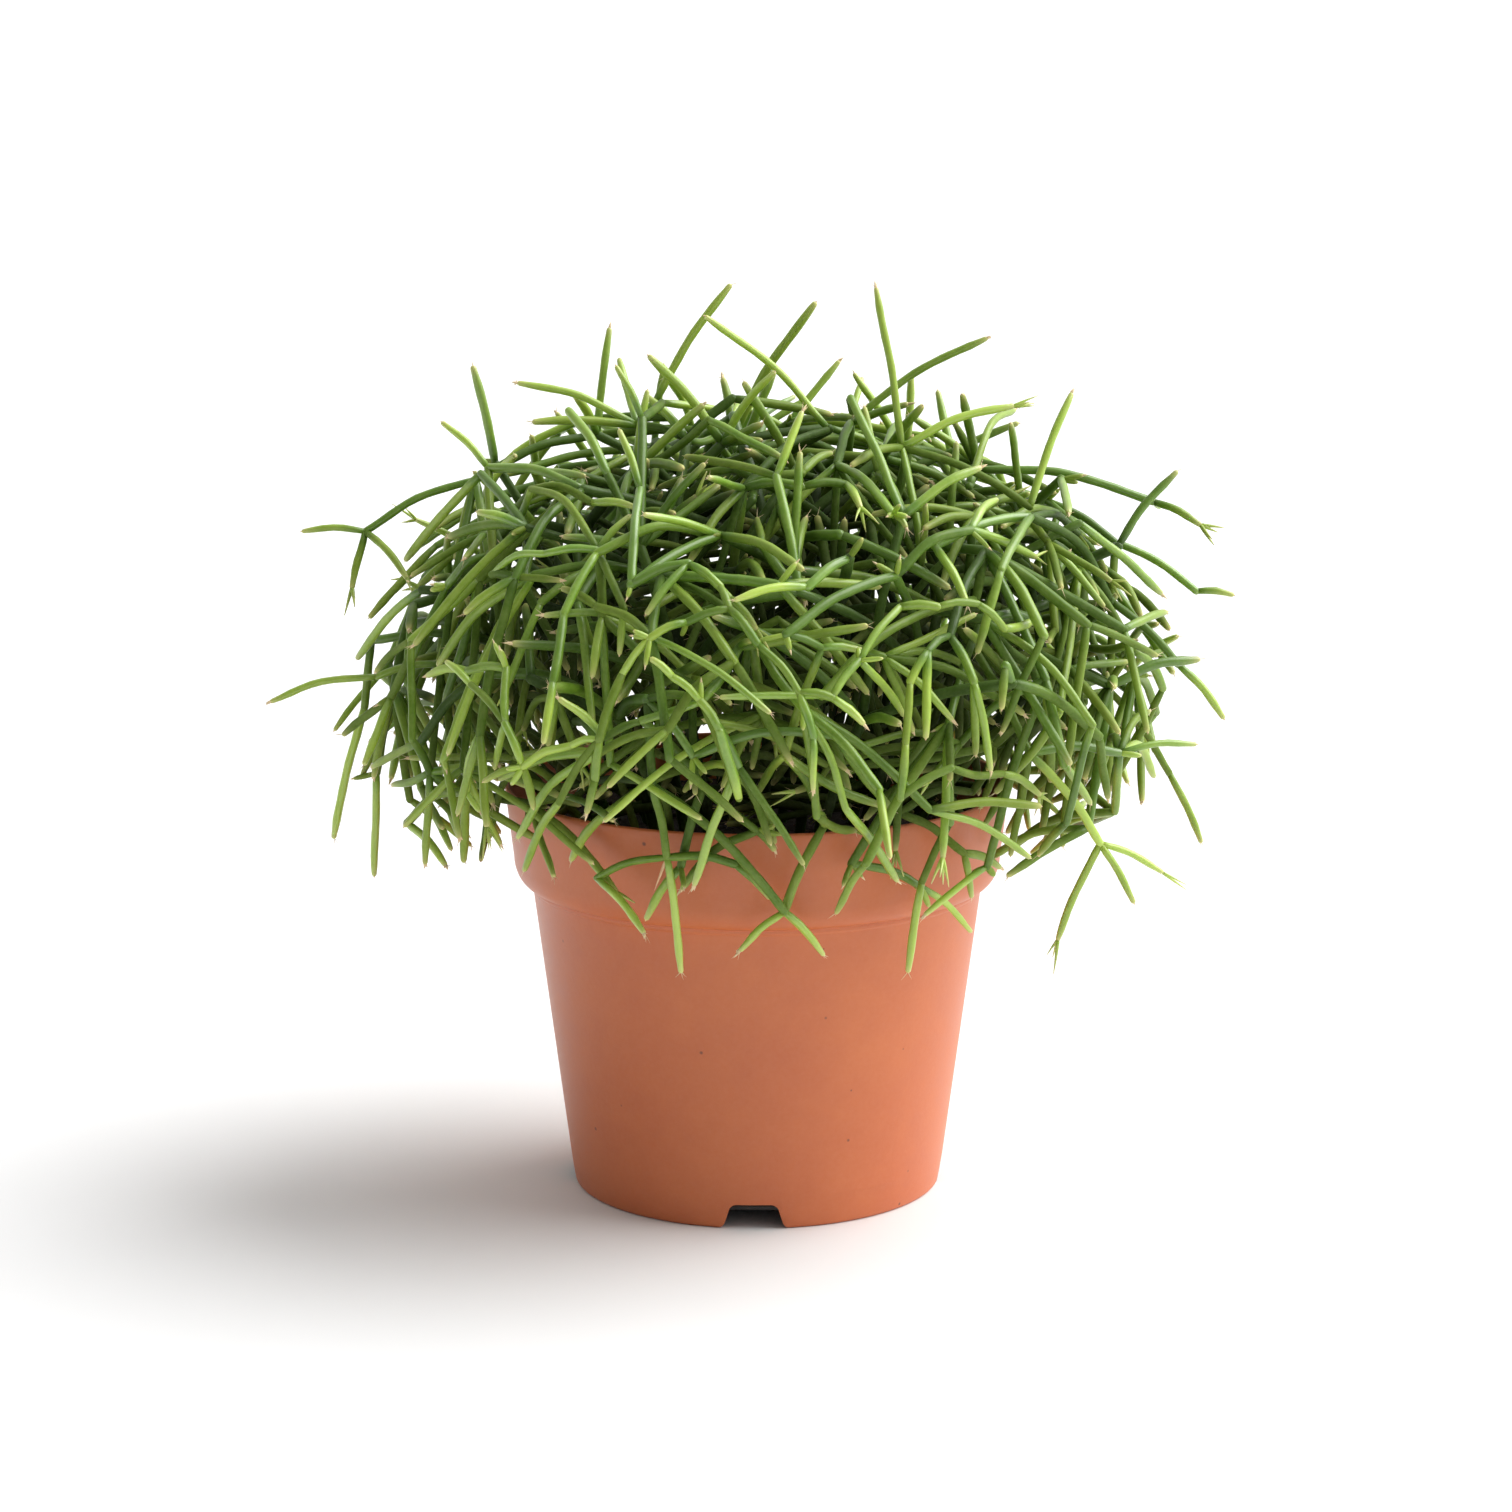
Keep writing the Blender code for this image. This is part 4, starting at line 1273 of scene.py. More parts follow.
def mottle_group() -> bpy.types.NodeTree:
    """The group of soft, uneven patches: a mask from 0 to 1 and a height for bump."""

    def build(graph: Graph, ins: bpy.types.Node, outs: bpy.types.Node) -> None:
        """Fills the group.

        Args:
            graph: The graph to build in.
            ins: The group's inputs.
            outs: The group's outputs.
        """
        place = graph.add("ShaderNodeTexCoord").outputs["Object"]
        broad = graph.add("ShaderNodeTexNoise", Vector=place, Scale=ins.outputs["Scale"], Detail=3.0)
        fine_scale = graph.math("MULTIPLY", ins.outputs["Scale"], FINE_PER_BROAD)
        fine = graph.add("ShaderNodeTexNoise", Vector=place, Scale=fine_scale, Detail=2.0)
        low = graph.math("SUBTRACT", 0.5, ins.outputs["Contrast"])
        high = graph.math("ADD", 0.5, ins.outputs["Contrast"])
        both = graph.math("MULTIPLY_ADD", fine.outputs[0], FINE_SHARE)
        graph.feed(both.node.inputs[2], graph.math("MULTIPLY", broad.outputs[0], BROAD_SHARE))
        spread_out = graph.add("ShaderNodeMapRange", Value=both, From_Min=high, From_Max=low)
        graph.feed(outs.inputs["Mask"], spread_out.outputs[0])
        graph.feed(outs.inputs["Height"], fine.outputs[0])

    sockets = (
        ("Scale", "INPUT", "NodeSocketFloat"),
        ("Contrast", "INPUT", "NodeSocketFloat"),
        ("Mask", "OUTPUT", "NodeSocketFloat"),
        ("Height", "OUTPUT", "NodeSocketFloat"),
    )
    return make_group("soft_mottle", sockets, build)


def speck_group() -> bpy.types.NodeTree:
    """The group of sparse round specks: a mask that is 1 on a speck."""

    def build(graph: Graph, ins: bpy.types.Node, outs: bpy.types.Node) -> None:
        """Fills the group.

        Args:
            graph: The graph to build in.
            ins: The group's inputs.
            outs: The group's outputs.
        """
        place = graph.add("ShaderNodeTexCoord").outputs["Object"]
        cells = graph.add("ShaderNodeTexVoronoi", Vector=place, Scale=ins.outputs["Scale"])
        chance = graph.add("ShaderNodeSeparateColor", Color=cells.outputs["Color"])
        size = graph.math("MULTIPLY", chance.outputs[1], ins.outputs["Size"])
        near = graph.add(
            "ShaderNodeMapRange", Value=cells.outputs["Distance"], From_Min=size, To_Min=0.0, To_Max=1.0
        )
        graph.feed(near.inputs["From Max"], graph.math("MULTIPLY", size, SPECK_CORE))
        rare = graph.math("LESS_THAN", chance.outputs[0], ins.outputs["Share"])
        graph.feed(outs.inputs["Mask"], graph.math("MULTIPLY", near.outputs[0], rare))

    sockets = (
        ("Scale", "INPUT", "NodeSocketFloat"),
        ("Size", "INPUT", "NodeSocketFloat"),
        ("Share", "INPUT", "NodeSocketFloat"),
        ("Mask", "OUTPUT", "NodeSocketFloat"),
    )
    return make_group("sparse_specks", sockets, build)


def new_material(name: str) -> tuple[bpy.types.Material, Graph, bpy.types.Node]:
    """A new material.

    Args:
        name: Its name.

    Returns:
        The material, its graph and its Principled shader.
    """
    material = bpy.data.materials.new(name)
    material.use_nodes = True
    graph = Graph(material.node_tree)
    return material, graph, material.node_tree.nodes["Principled BSDF"]


@dataclass(frozen=True)
class StemSkin:
    """Waxy green skin: dark on old joints, yellow-green on young ones, pale at the tips; its brightness
    carries painted shade deep in the crown and painted light on the outer joints.
    """

    name: str = "stem_skin"
    old: Colour = (0.050, 0.118, 0.005)
    middle: Colour = (0.118, 0.238, 0.007)
    young: Colour = (0.335, 0.475, 0.042)
    tip: Colour = (0.680, 0.620, 0.240)
    bloom: Colour = (0.560, 0.640, 0.420)
    roughness: float = 0.55
    wax: float = 1.0
    wax_roughness: float = 0.32
    wax_ior: float = 1.75
    bump: float = 0.10
    bump_depth: float = 0.0003
    patchiness: float = 0.22
    bloom_share: float = 0.07
    tip_falloff: float = 3.0
    brightness: Span = (0.10, 1.36)
    waxed_from: float = 0.25
    reflectance: float = 0.08
    glow: float = 0.10
    glow_radius: Colour = (0.4, 1.0, 0.15)
    glow_scale: float = 0.0015

    def material(self) -> bpy.types.Material:
        """Builds the material.

        Returns:
            The material, which reads age, tip and tone from the points' growth values.
        """
        material, graph, shader = new_material(self.name)
        age, tip, tone = graph.values()
        patches = graph.use(mottle_group(), Scale=260.0, Contrast=0.22)
        mask = patches.outputs["Mask"]
        patch = graph.math("MULTIPLY", graph.math("SUBTRACT", mask, 0.5), self.patchiness)
        uneven_age = graph.math("ADD", age, patch)
        green = graph.ramp(uneven_age, ((0.0, self.old), (0.45, self.middle), (1.0, self.young)))
        # The tone is a random tone per joint with painted shade deep in the crown and painted light on
        # outer free joints; it sets the brightness here and the wax coat below
        brightness = graph.between(tone, *self.brightness)
        shaded = graph.add("ShaderNodeHueSaturation", Color=green, Value=brightness).outputs[0]
        waxed = graph.mix(graph.math("MULTIPLY", mask, self.bloom_share), shaded, rgba(self.bloom))
        ends = graph.math("POWER", tip, self.tip_falloff)
        graph.feed(shader.inputs["Base Color"], graph.mix(ends, waxed, rgba(self.tip)))
        rough = graph.between(mask, self.roughness - 0.06, self.roughness + 0.10)
        graph.feed(shader.inputs["Roughness"], rough)
        graph.feed(shader.inputs["Coat Weight"], graph.between(tone, 0.0, self.wax, self.waxed_from))
        shader.inputs["Coat Roughness"].default_value = self.wax_roughness
        shader.inputs["Coat IOR"].default_value = self.wax_ior
        shader.inputs["Specular IOR Level"].default_value = self.reflectance
        graph.roughen(shader, self.bump, self.bump_depth, patches.outputs["Height"])
        shader.inputs["Subsurface Weight"].default_value = self.glow
        shader.inputs["Subsurface Radius"].default_value = self.glow_radius
        shader.inputs["Subsurface Scale"].default_value = self.glow_scale
        return material


@dataclass(frozen=True)
class PaleScale:
    """Dry, pale scale and bristle of the growing points."""

    name: str = "pale_scale"
    pale: Colour = (0.820, 0.680, 0.400)
    warm: Colour = (0.700, 0.380, 0.200)
    roughness: float = 0.65
    bump: float = 0.4
    bump_depth: float = 0.0002

    def material(self) -> bpy.types.Material:
        """Builds the material.

        Returns:
            The material, which reads how warm a scale is from the points' growth values.
        """
        material, graph, shader = new_material(self.name)
        warmth, _, _ = graph.values()
        patches = graph.use(mottle_group(), Scale=900.0, Contrast=0.25)
        share = graph.math("MULTIPLY_ADD", patches.outputs["Mask"], 0.4)
        graph.feed(share.node.inputs[2], graph.math("SUBTRACT", warmth, 0.2))
        graph.feed(shader.inputs["Base Color"], graph.mix(share, rgba(self.pale), rgba(self.warm)))
        shader.inputs["Roughness"].default_value = self.roughness
        graph.roughen(shader, self.bump, self.bump_depth, patches.outputs["Height"])
        return material


@dataclass(frozen=True)
class TerracottaPlastic:
    """Moulded plastic in a terracotta colour, satin, a little dusty and scuffed, with painted shade under
    its floor.
    """

    name: str = "terracotta_plastic"
    body: Colour = (0.520, 0.112, 0.026)
    faded: Colour = (0.590, 0.150, 0.038)
    dirt: Colour = (0.110, 0.040, 0.022)
    scuff: Colour = (0.780, 0.420, 0.270)
    underside_painted_shade: Colour = (0.020, 0.014, 0.011)
    painted_shade_radius: float = 0.0425
    painted_shade_height: float = 0.0042
    roughness: float = 0.42
    gloss: float = 0.62
    bump: float = 0.12
    bump_depth: float = 0.0002
    grain_share: float = 0.08
    scuff_share: float = 0.6
    dirt_share: float = 0.85

    def material(self) -> bpy.types.Material:
        """Builds the material.

        Returns:
            The material.
        """
        material, graph, shader = new_material(self.name)
        patches = graph.use(mottle_group(), Scale=38.0, Contrast=0.24)
        grain = graph.use(mottle_group(), Scale=900.0, Contrast=0.30)
        dark = graph.use(speck_group(), Scale=150.0, Size=0.10, Share=0.42)
        light = graph.use(speck_group(), Scale=170.0, Size=0.08, Share=0.16)
        body = graph.mix(patches.outputs["Mask"], rgba(self.body), rgba(self.faded))
        layers = (
            (grain, self.grain_share, self.scuff),
            (light, self.scuff_share, self.scuff),
            (dark, self.dirt_share, self.dirt),
        )
        for layer, share, colour in layers:
            body = graph.mix(graph.math("MULTIPLY", layer.outputs["Mask"], share), body, rgba(colour))
        # Painted shade: the hollow under the pot's floor is coloured near black
        shaded_body = graph.mix(self.underside(graph), body, rgba(self.underside_painted_shade))
        graph.feed(shader.inputs["Base Color"], shaded_body)
        shader.inputs["Specular IOR Level"].default_value = self.gloss
        rough = graph.between(patches.outputs["Mask"], self.roughness - 0.05, self.roughness + 0.07)
        graph.feed(shader.inputs["Roughness"], rough)
        graph.roughen(shader, self.bump, self.bump_depth, grain.outputs["Height"])
        return material

    def underside(self, graph: Graph) -> bpy.types.NodeSocket:
        """A mask that is 1 under the pot's floor, where painted shade darkens the hollow that shows through
        the drain notches.

        Args:
            graph: The graph to build in.

        Returns:
            The mask's socket.
        """
        place = graph.add("ShaderNodeTexCoord").outputs["Object"]
        parts = graph.add("ShaderNodeSeparateXYZ", Vector=place)
        squares = [graph.math("MULTIPLY", parts.outputs[axis], parts.outputs[axis]) for axis in ("X", "Y")]
        inside = graph.math("LESS_THAN", graph.math("ADD", *squares), self.painted_shade_radius**2)
        low = graph.math("LESS_THAN", parts.outputs["Z"], self.painted_shade_height)
        return graph.math("MULTIPLY", inside, low)


@dataclass(frozen=True)
class Peat:
    """Dark, moist, crumbly peat."""

    name: str = "peat"
    dark: Colour = (0.012, 0.008, 0.006)
    brown: Colour = (0.050, 0.030, 0.018)
    fibre: Colour = (0.160, 0.095, 0.050)
    roughness: float = 0.86
    bump: float = 0.9
    bump_depth: float = 0.0005

    def material(self) -> bpy.types.Material:
        """Builds the material.

        Returns:
            The material.
        """
        material, graph, shader = new_material(self.name)
        dryness, _, _ = graph.values()
        patches = graph.use(mottle_group(), Scale=320.0, Contrast=0.20)
        soil = graph.mix(patches.outputs["Mask"], rgba(self.dark), rgba(self.brown))
        graph.feed(shader.inputs["Base Color"], graph.mix(dryness, soil, rgba(self.fibre)))
        shader.inputs["Roughness"].default_value = self.roughness
        graph.roughen(shader, self.bump, self.bump_depth, patches.outputs["Height"])
        return material


@dataclass(frozen=True)
class PaleFloor:
    """Plain white studio floor."""

    name: str = "pale_floor"
    colour: Colour = (0.86, 0.86, 0.86)

    def material(self) -> bpy.types.Material:
        """Builds the material.

        Returns:
            The material.
        """
        material, _, shader = new_material(self.name)
        shader.inputs["Base Color"].default_value = rgba(self.colour)
        shader.inputs["Roughness"].default_value = 0.9
        shader.inputs["Specular IOR Level"].default_value = 0.0
        return material


# The plant


class Ending(Enum):
    """How a free tip ends."""

    BLUNT = "blunt"
    BRISTLED = "bristled"
    BEAKED = "beaked"
    SPROUTING = "sprouting"


@dataclass
class Plant:
    """The cuttings as smooth, jointed stems with their growing points."""

    growth: Growth
    skin: StemSkin = StemSkin()
    scale: PaleScale = PaleScale()
    sides: int = 8
    ring_step: float = 0.0024
    base_share: float = 0.80
    base_run: float = 0.0035
    tip_share: float = 0.68
    tip_run: float = 0.0052
    wobble: float = 0.00022
    slimness: float = 0.83
    thickness_spread: float = 0.12
    outer_youth: float = 0.22
    outer_thinning: float = 0.10
    painted_inner_tone: float = 0.10
    pale_run: float = 0.0075
    sprout_reach: float = 0.1090
    sprout_length: Span = (0.0030, 0.0070)
    sprout_radius: Span = (0.00035, 0.00075)
    beak_length: Span = (0.0012, 0.0026)
    beak_radius: float = 0.00040
    bud_share: float = 0.20
    bud_length: Span = (0.0030, 0.0065)
    bud_radius: Span = (0.00060, 0.00085)
    bristle_length: Span = (0.0008, 0.0030)
    bristle_radius: float = 0.00009
    young_whorls: tuple[Place, ...] = (
        (0.0590, -0.0200, 0.1890),
        (0.1040, -0.0050, 0.1590),
        (0.0043, -0.0504, 0.1157),
    )
    dried_shoot: tuple[Place, Place] = ((-0.0200, -0.0680, 0.0940), (-0.0228, -0.0672, 0.0866))
    dried_radius: float = 0.00042
    young_whorl_reach: float = 0.0025
    dried_shoot_reach: float = 0.0015
    level_youth: tuple[float, ...] = (0.06, 0.22, 0.40, 0.56, 0.66)
    free_youth: float = 0.14
    age_spread: float = 0.15
    age_run: float = 0.008
    outer_run: float = 0.30
    least_tone: float = 0.32
    outer_painted_light: float = 0.28
    daylight_from: float = 0.58
    daylight_run: float = 0.52
    pale_share: float = 0.8
    carried_tip_share: float = 0.93
    round_turns: tuple[int, ...] = (35, 65, 84)
    bud_profile: tuple[Place, ...] = (
        (0.0, 0.7, 0.0),
        (0.2, 0.9, 0.0),
        (0.5, 1.0, 0.1),
        (0.8, 0.85, 0.35),
        (0.93, 0.6, 0.7),
        (1.0, 0.25, 0.95),
    )
    bud_beak: Span = (0.0014, 0.00028)
    bud_opening: Span = (0.5, 1.3)
    bristle_opening: Span = (0.2, 0.9)
    sprout_opening: Span = (0.15, 0.75)
    spike_profile: tuple[Span, ...] = ((0.0, 0.7), (0.25, 1.0), (0.65, 0.6), (1.0, 0.12))
    seed: int = 5
    endings: tuple[tuple[Ending, float], ...] = (
        (Ending.BLUNT, 0.36),
        (Ending.BRISTLED, 0.26),
        (Ending.BEAKED, 0.32),
        (Ending.SPROUTING, 0.06),
    )

    def build(self) -> None:
        """Builds one piece of stems and one of growing points for each cutting."""
        # Without a seed the wobble would start from the clock, and no two runs would be the same
        noise.seed_set(self.seed)
        skin, pale = self.skin.material(), self.scale.material()
        for number, joints in enumerate(self.growth.grow(), start=1):
            self.draw = random.Random(self.seed * 100 + number)
            self.stems = MeshSketch(f"cutting_{number:02d}_stems")
            self.points = MeshSketch(f"cutting_{number:02d}_growing_points")
            self.ages = {id(joints[0]): 0.1}
            for joint in joints:
                self.add_joint(joint)
            dress(self.stems.make(skin), "stem_green", f"cutting_{number:02d}")
            dress(self.points.make(pale), "stem_green")
        log.info("plant: %d joints", self.growth.count)

    def age_of(self, joint: Joint) -> float:
        """How young a joint looks, from 0 to 1: more so further out and at the free tips."""
        free = 0.0 if joint.children else self.free_youth
        youth = self.level_youth[joint.level] + free + self.draw.gauss(0, self.age_spread)
        return min(1.0, max(0.0, youth))

    def add_joint(self, joint: Joint) -> None:
        """Adds one joint: a tube that narrows at both ends, and what its tip carries.

        Args:
            joint: The joint.
        """
        free = not joint.children
        beyond = self.growth.thickening.crown.share(joint.end) - 1.0
        outer = smoothstep(beyond / self.outer_run) if free else 0.0
        age = min(1.0, self.age_of(joint) + self.outer_youth * outer)
        carrier_age = self.ages.get(id(joint), age)
        for child in joint.children:
            self.ages[id(child)] = age
        full = self.growth.habit.joint_radius[joint.level] * self.slimness
        full *= 1 + self.draw.uniform(-self.thickness_spread, self.thickness_spread)
        full *= 1 - self.outer_thinning * outer
        path = smooth_path(joint.points, joint.start_way, self.ring_step)
        path = self.wobbled(path, full)
        lengths = [0.0]
        for a, b in zip(path, path[1:]):
            lengths.append(lengths[-1] + (b - a).length)
        radii = [self.radius_at(s, lengths[-1], full, joint.level, free) for s in lengths]
        # Outer free joints get a lighter tone: partly their paler waxy skin, partly painted light from
        # behind on the crown's outside
        tone = self.draw.uniform(self.least_tone + self.outer_painted_light * outer, 1.0)
        values = []
        for s, point in zip(lengths, path):
            own = carrier_age + (age - carrier_age) * smoothstep(s / self.age_run)
            pale = max(0.0, 1 - (lengths[-1] - s) / self.pale_run) if free else 0.0
            # The third value is the tone with painted shade: darker deeper in the crown
            values.append((own, self.pale_share * pale, tone * self.painted_daylight(point)))
        way = (path[-1] - path[-2]).normalized()
        path, radii, values = self.rounded(path, radii, values, way, free)
        self.stems.tube(path, radii, self.sides, values)
        if free:
            self.end_tip(path[-1], way, radii[-4], age, tone)
        elif joint.level and self.draw.random() < self.bud_share:
            self.add_buds(joint.end, joint.end_way, tone * self.painted_daylight(joint.end))
        first, last = (Vector(place) for place in self.dried_shoot)
        if (joint.end - first).length < self.dried_shoot_reach:
            down = last - joint.end
            self.add_spike(joint.end, down.normalized(), down.length, self.dried_radius, 6, 0.7)

    def painted_daylight(self, point: Vector) -> float:
        """How bright the green skin is at a place, from 0 to 1: it is darker deeper in the crown, partly as
        the older stems there are darker and partly as painted shade from the stems around them.
        """
        share = self.growth.thickening.crown.share(point)
        lit = smoothstep((share - self.daylight_from) / self.daylight_run)
        return self.painted_inner_tone + (1 - self.painted_inner_tone) * lit

    def wobbled(self, path: Path, radius: float) -> Path:
        """The path with the slight unevenness of a grown thing, which leaves its ends in place.

        Args:
            path: The path.
            radius: The joint's radius; not used.

        Returns:
            The uneven path.
        """
        shift = Vector([self.draw.uniform(-50, 50) for _ in range(3)])
        last = len(path) - 1
        uneven = []
        for i, point in enumerate(path):
            fade = math.sin(math.pi * i / last)
            offset = noise.noise_vector(point * 75 + shift) * (self.wobble * 2 * fade)
            uneven.append(point + offset)
        return uneven

    def radius_at(self, s: float, length: float, full: float, level: int, free: bool) -> float:
        """The radius at a place along a joint.

        Args:
            s: The distance from its base.
            length: Its length.
            full: Its radius in the middle.
            level: Its level.
            free: Whether its tip is free.

        Returns:
            The radius there.
        """
        widening = (1 - self.base_share) * smoothstep(s / self.base_run)
        base = self.base_share + widening if level else 1.0
        run, share = (self.tip_run, self.tip_share) if free else (self.base_run, self.carried_tip_share)
        tip = share + (1 - share) * smoothstep((length - s) / run)
        return full * base * tip * (1 + 0.04 * math.sin(s * 900 + full * 1e6))

    def rounded(
        self, path: Path, radii: list[float], values: list[Colour], way: Vector, free: bool
    ) -> tuple[Path, list[float], list[Colour]]:
        """Adds a rounded end to a tube.

        Args:
            path: The tube's middle line.
            radii: Its radii.
            values: Its values.
            way: The direction of its end.
            free: Whether the tip is free, which ends at the same place, or carries joints.

        Returns:
            The path, radii and values with the rounded end.
        """
        last = radii[-1]
        start = path[-1] - way * (last if free else 0.0)
        if free and (path[-2] - path[-1]).length < last * 1.2:
            path, radii, values = path[:-2] + [start], radii[:-2] + [last], values[:-2] + [values[-1]]
        else:
            path, radii = path[:-1] + [start], radii[:-1] + [last]
        for turn in self.round_turns:
            out, along = math.cos(math.radians(turn)), math.sin(math.radians(turn))
            path.append(start + way * (last * along))
            radii.append(last * out)
            age, pale, tone = values[-1]
            values.append((age, min(1.0, pale + (0.07 if free else 0.0)), tone))
        return path, radii, values

    def end_tip(self, tip: Vector, way: Vector, radius: float, age: float, tone: float) -> None:
        """Adds what a free tip carries.

        Args:
            tip: The end of the joint.
            way: The direction in which it ends.
            radius: Its radius near the end.
            age: The joint's age value; not used.
            tone: The joint's tone value.
        """
        kinds, weights = zip(*self.endings)
        kind = self.draw.choices(kinds, weights)[0]
        if kind is Ending.SPROUTING and max(abs(tip.x), abs(tip.y)) > self.sprout_reach:
            kind = Ending.BEAKED
        if any((tip - Vector(place)).length < self.young_whorl_reach for place in self.young_whorls):
            kind = Ending.SPROUTING
            self.add_sprouts(tip, way, radius, tone)
        if kind is Ending.SPROUTING:
            self.add_sprouts(tip, way, radius, tone)
        if kind is Ending.BEAKED:
            for number in range(self.draw.randint(1, 3)):
                prong = spread(way, self.draw.uniform(0, TURN), 0.1 + 0.25 * number)
                length = self.draw.uniform(*self.beak_length) / (1 + 0.4 * number)
                self.add_spike(tip - way * 0.0005, prong, length, self.beak_radius, 5, 0.2)
        if kind in (Ending.BRISTLED, Ending.SPROUTING, Ending.BEAKED):
            for _ in range(self.draw.randint(2, 4)):
                bristle = spread(way, self.draw.uniform(0, TURN), self.draw.uniform(*self.bristle_opening))
                length = self.draw.uniform(*self.bristle_length)
                self.add_spike(tip - way * 0.0003, bristle, length, self.bristle_radius, 3, 0.1)
        else:
            self.add_spike(tip - way * 0.0005, way, 0.0009, self.beak_radius * 0.8, 5, 0.35)

    def add_sprouts(self, tip: Vector, way: Vector, radius: float, tone: float) -> None:
        """Adds two to four very young joints at a tip.

        Args:
            tip: The end of the joint that carries them.
            way: The direction in which it ends.
            radius: Its radius.
            tone: Its tone value.
        """
        count = self.draw.randint(2, 4)
        turn = self.draw.uniform(0, TURN)
        for number in range(count):
            out = spread(way, turn + TURN * number / count, self.draw.uniform(*self.sprout_opening))
            length = self.draw.uniform(*self.sprout_length)
            thick = min(radius * 0.8, self.draw.uniform(*self.sprout_radius))
            start = tip - way * radius * 0.6
            path, radii, values = [], [], []
            for i in range(7):
                share = i / 6
                path.append(start + out * (length * share) + way * (0.22 * length * share * share))
                radii.append(thick * (1 - 0.82 * share**1.6))
                values.append((0.95, 0.25 + 0.7 * share, tone))
            self.stems.tube(path, radii, 6, values)

    def add_buds(self, tip: Vector, way: Vector, tone: float) -> None:
        """Adds one to three stubby young shoots to a whorl.

        Args:
            tip: The whorl's place.
            way: The direction in which its carrier ends.
            tone: The carrier's tone value there, with the painted shade of the crown.
        """
        for _ in range(self.draw.randint(1, 3)):
            out = spread(way, self.draw.uniform(0, TURN), self.draw.uniform(*self.bud_opening))
            length = self.draw.uniform(*self.bud_length)
            thick = self.draw.uniform(*self.bud_radius)
            path, radii, values = [], [], []
            for share, width, pale in self.bud_profile:
                path.append(tip + out * (length * share))
                radii.append(thick * width)
                values.append((0.92, pale, tone))
            self.stems.tube(path, radii, 6, values)
            if self.draw.random() < 0.5:
                self.add_spike(path[-2], out, *self.bud_beak, 4, 0.15)

    def add_spike(
        self, start: Vector, way: Vector, length: float, radius: float, sides: int, warmth: float
    ) -> None:
        """Adds a fine pointed scale or bristle.

        Args:
            start: Where it starts.
            way: Its direction.
            length: Its length.
            radius: Its radius at the base.
            sides: The number of sides.
            warmth: How warm its colour is, from 0 to 1.
        """
        side, _ = across(way)
        path, radii = [], []
        for share, width in self.spike_profile:
            path.append(start + way * (length * share) + side * (0.10 * length * share * share))
            radii.append(radius * width)
        self.points.tube(path, radii, sides, [(warmth, 0.0, 0.0)] * len(path))


# The pot and the soil


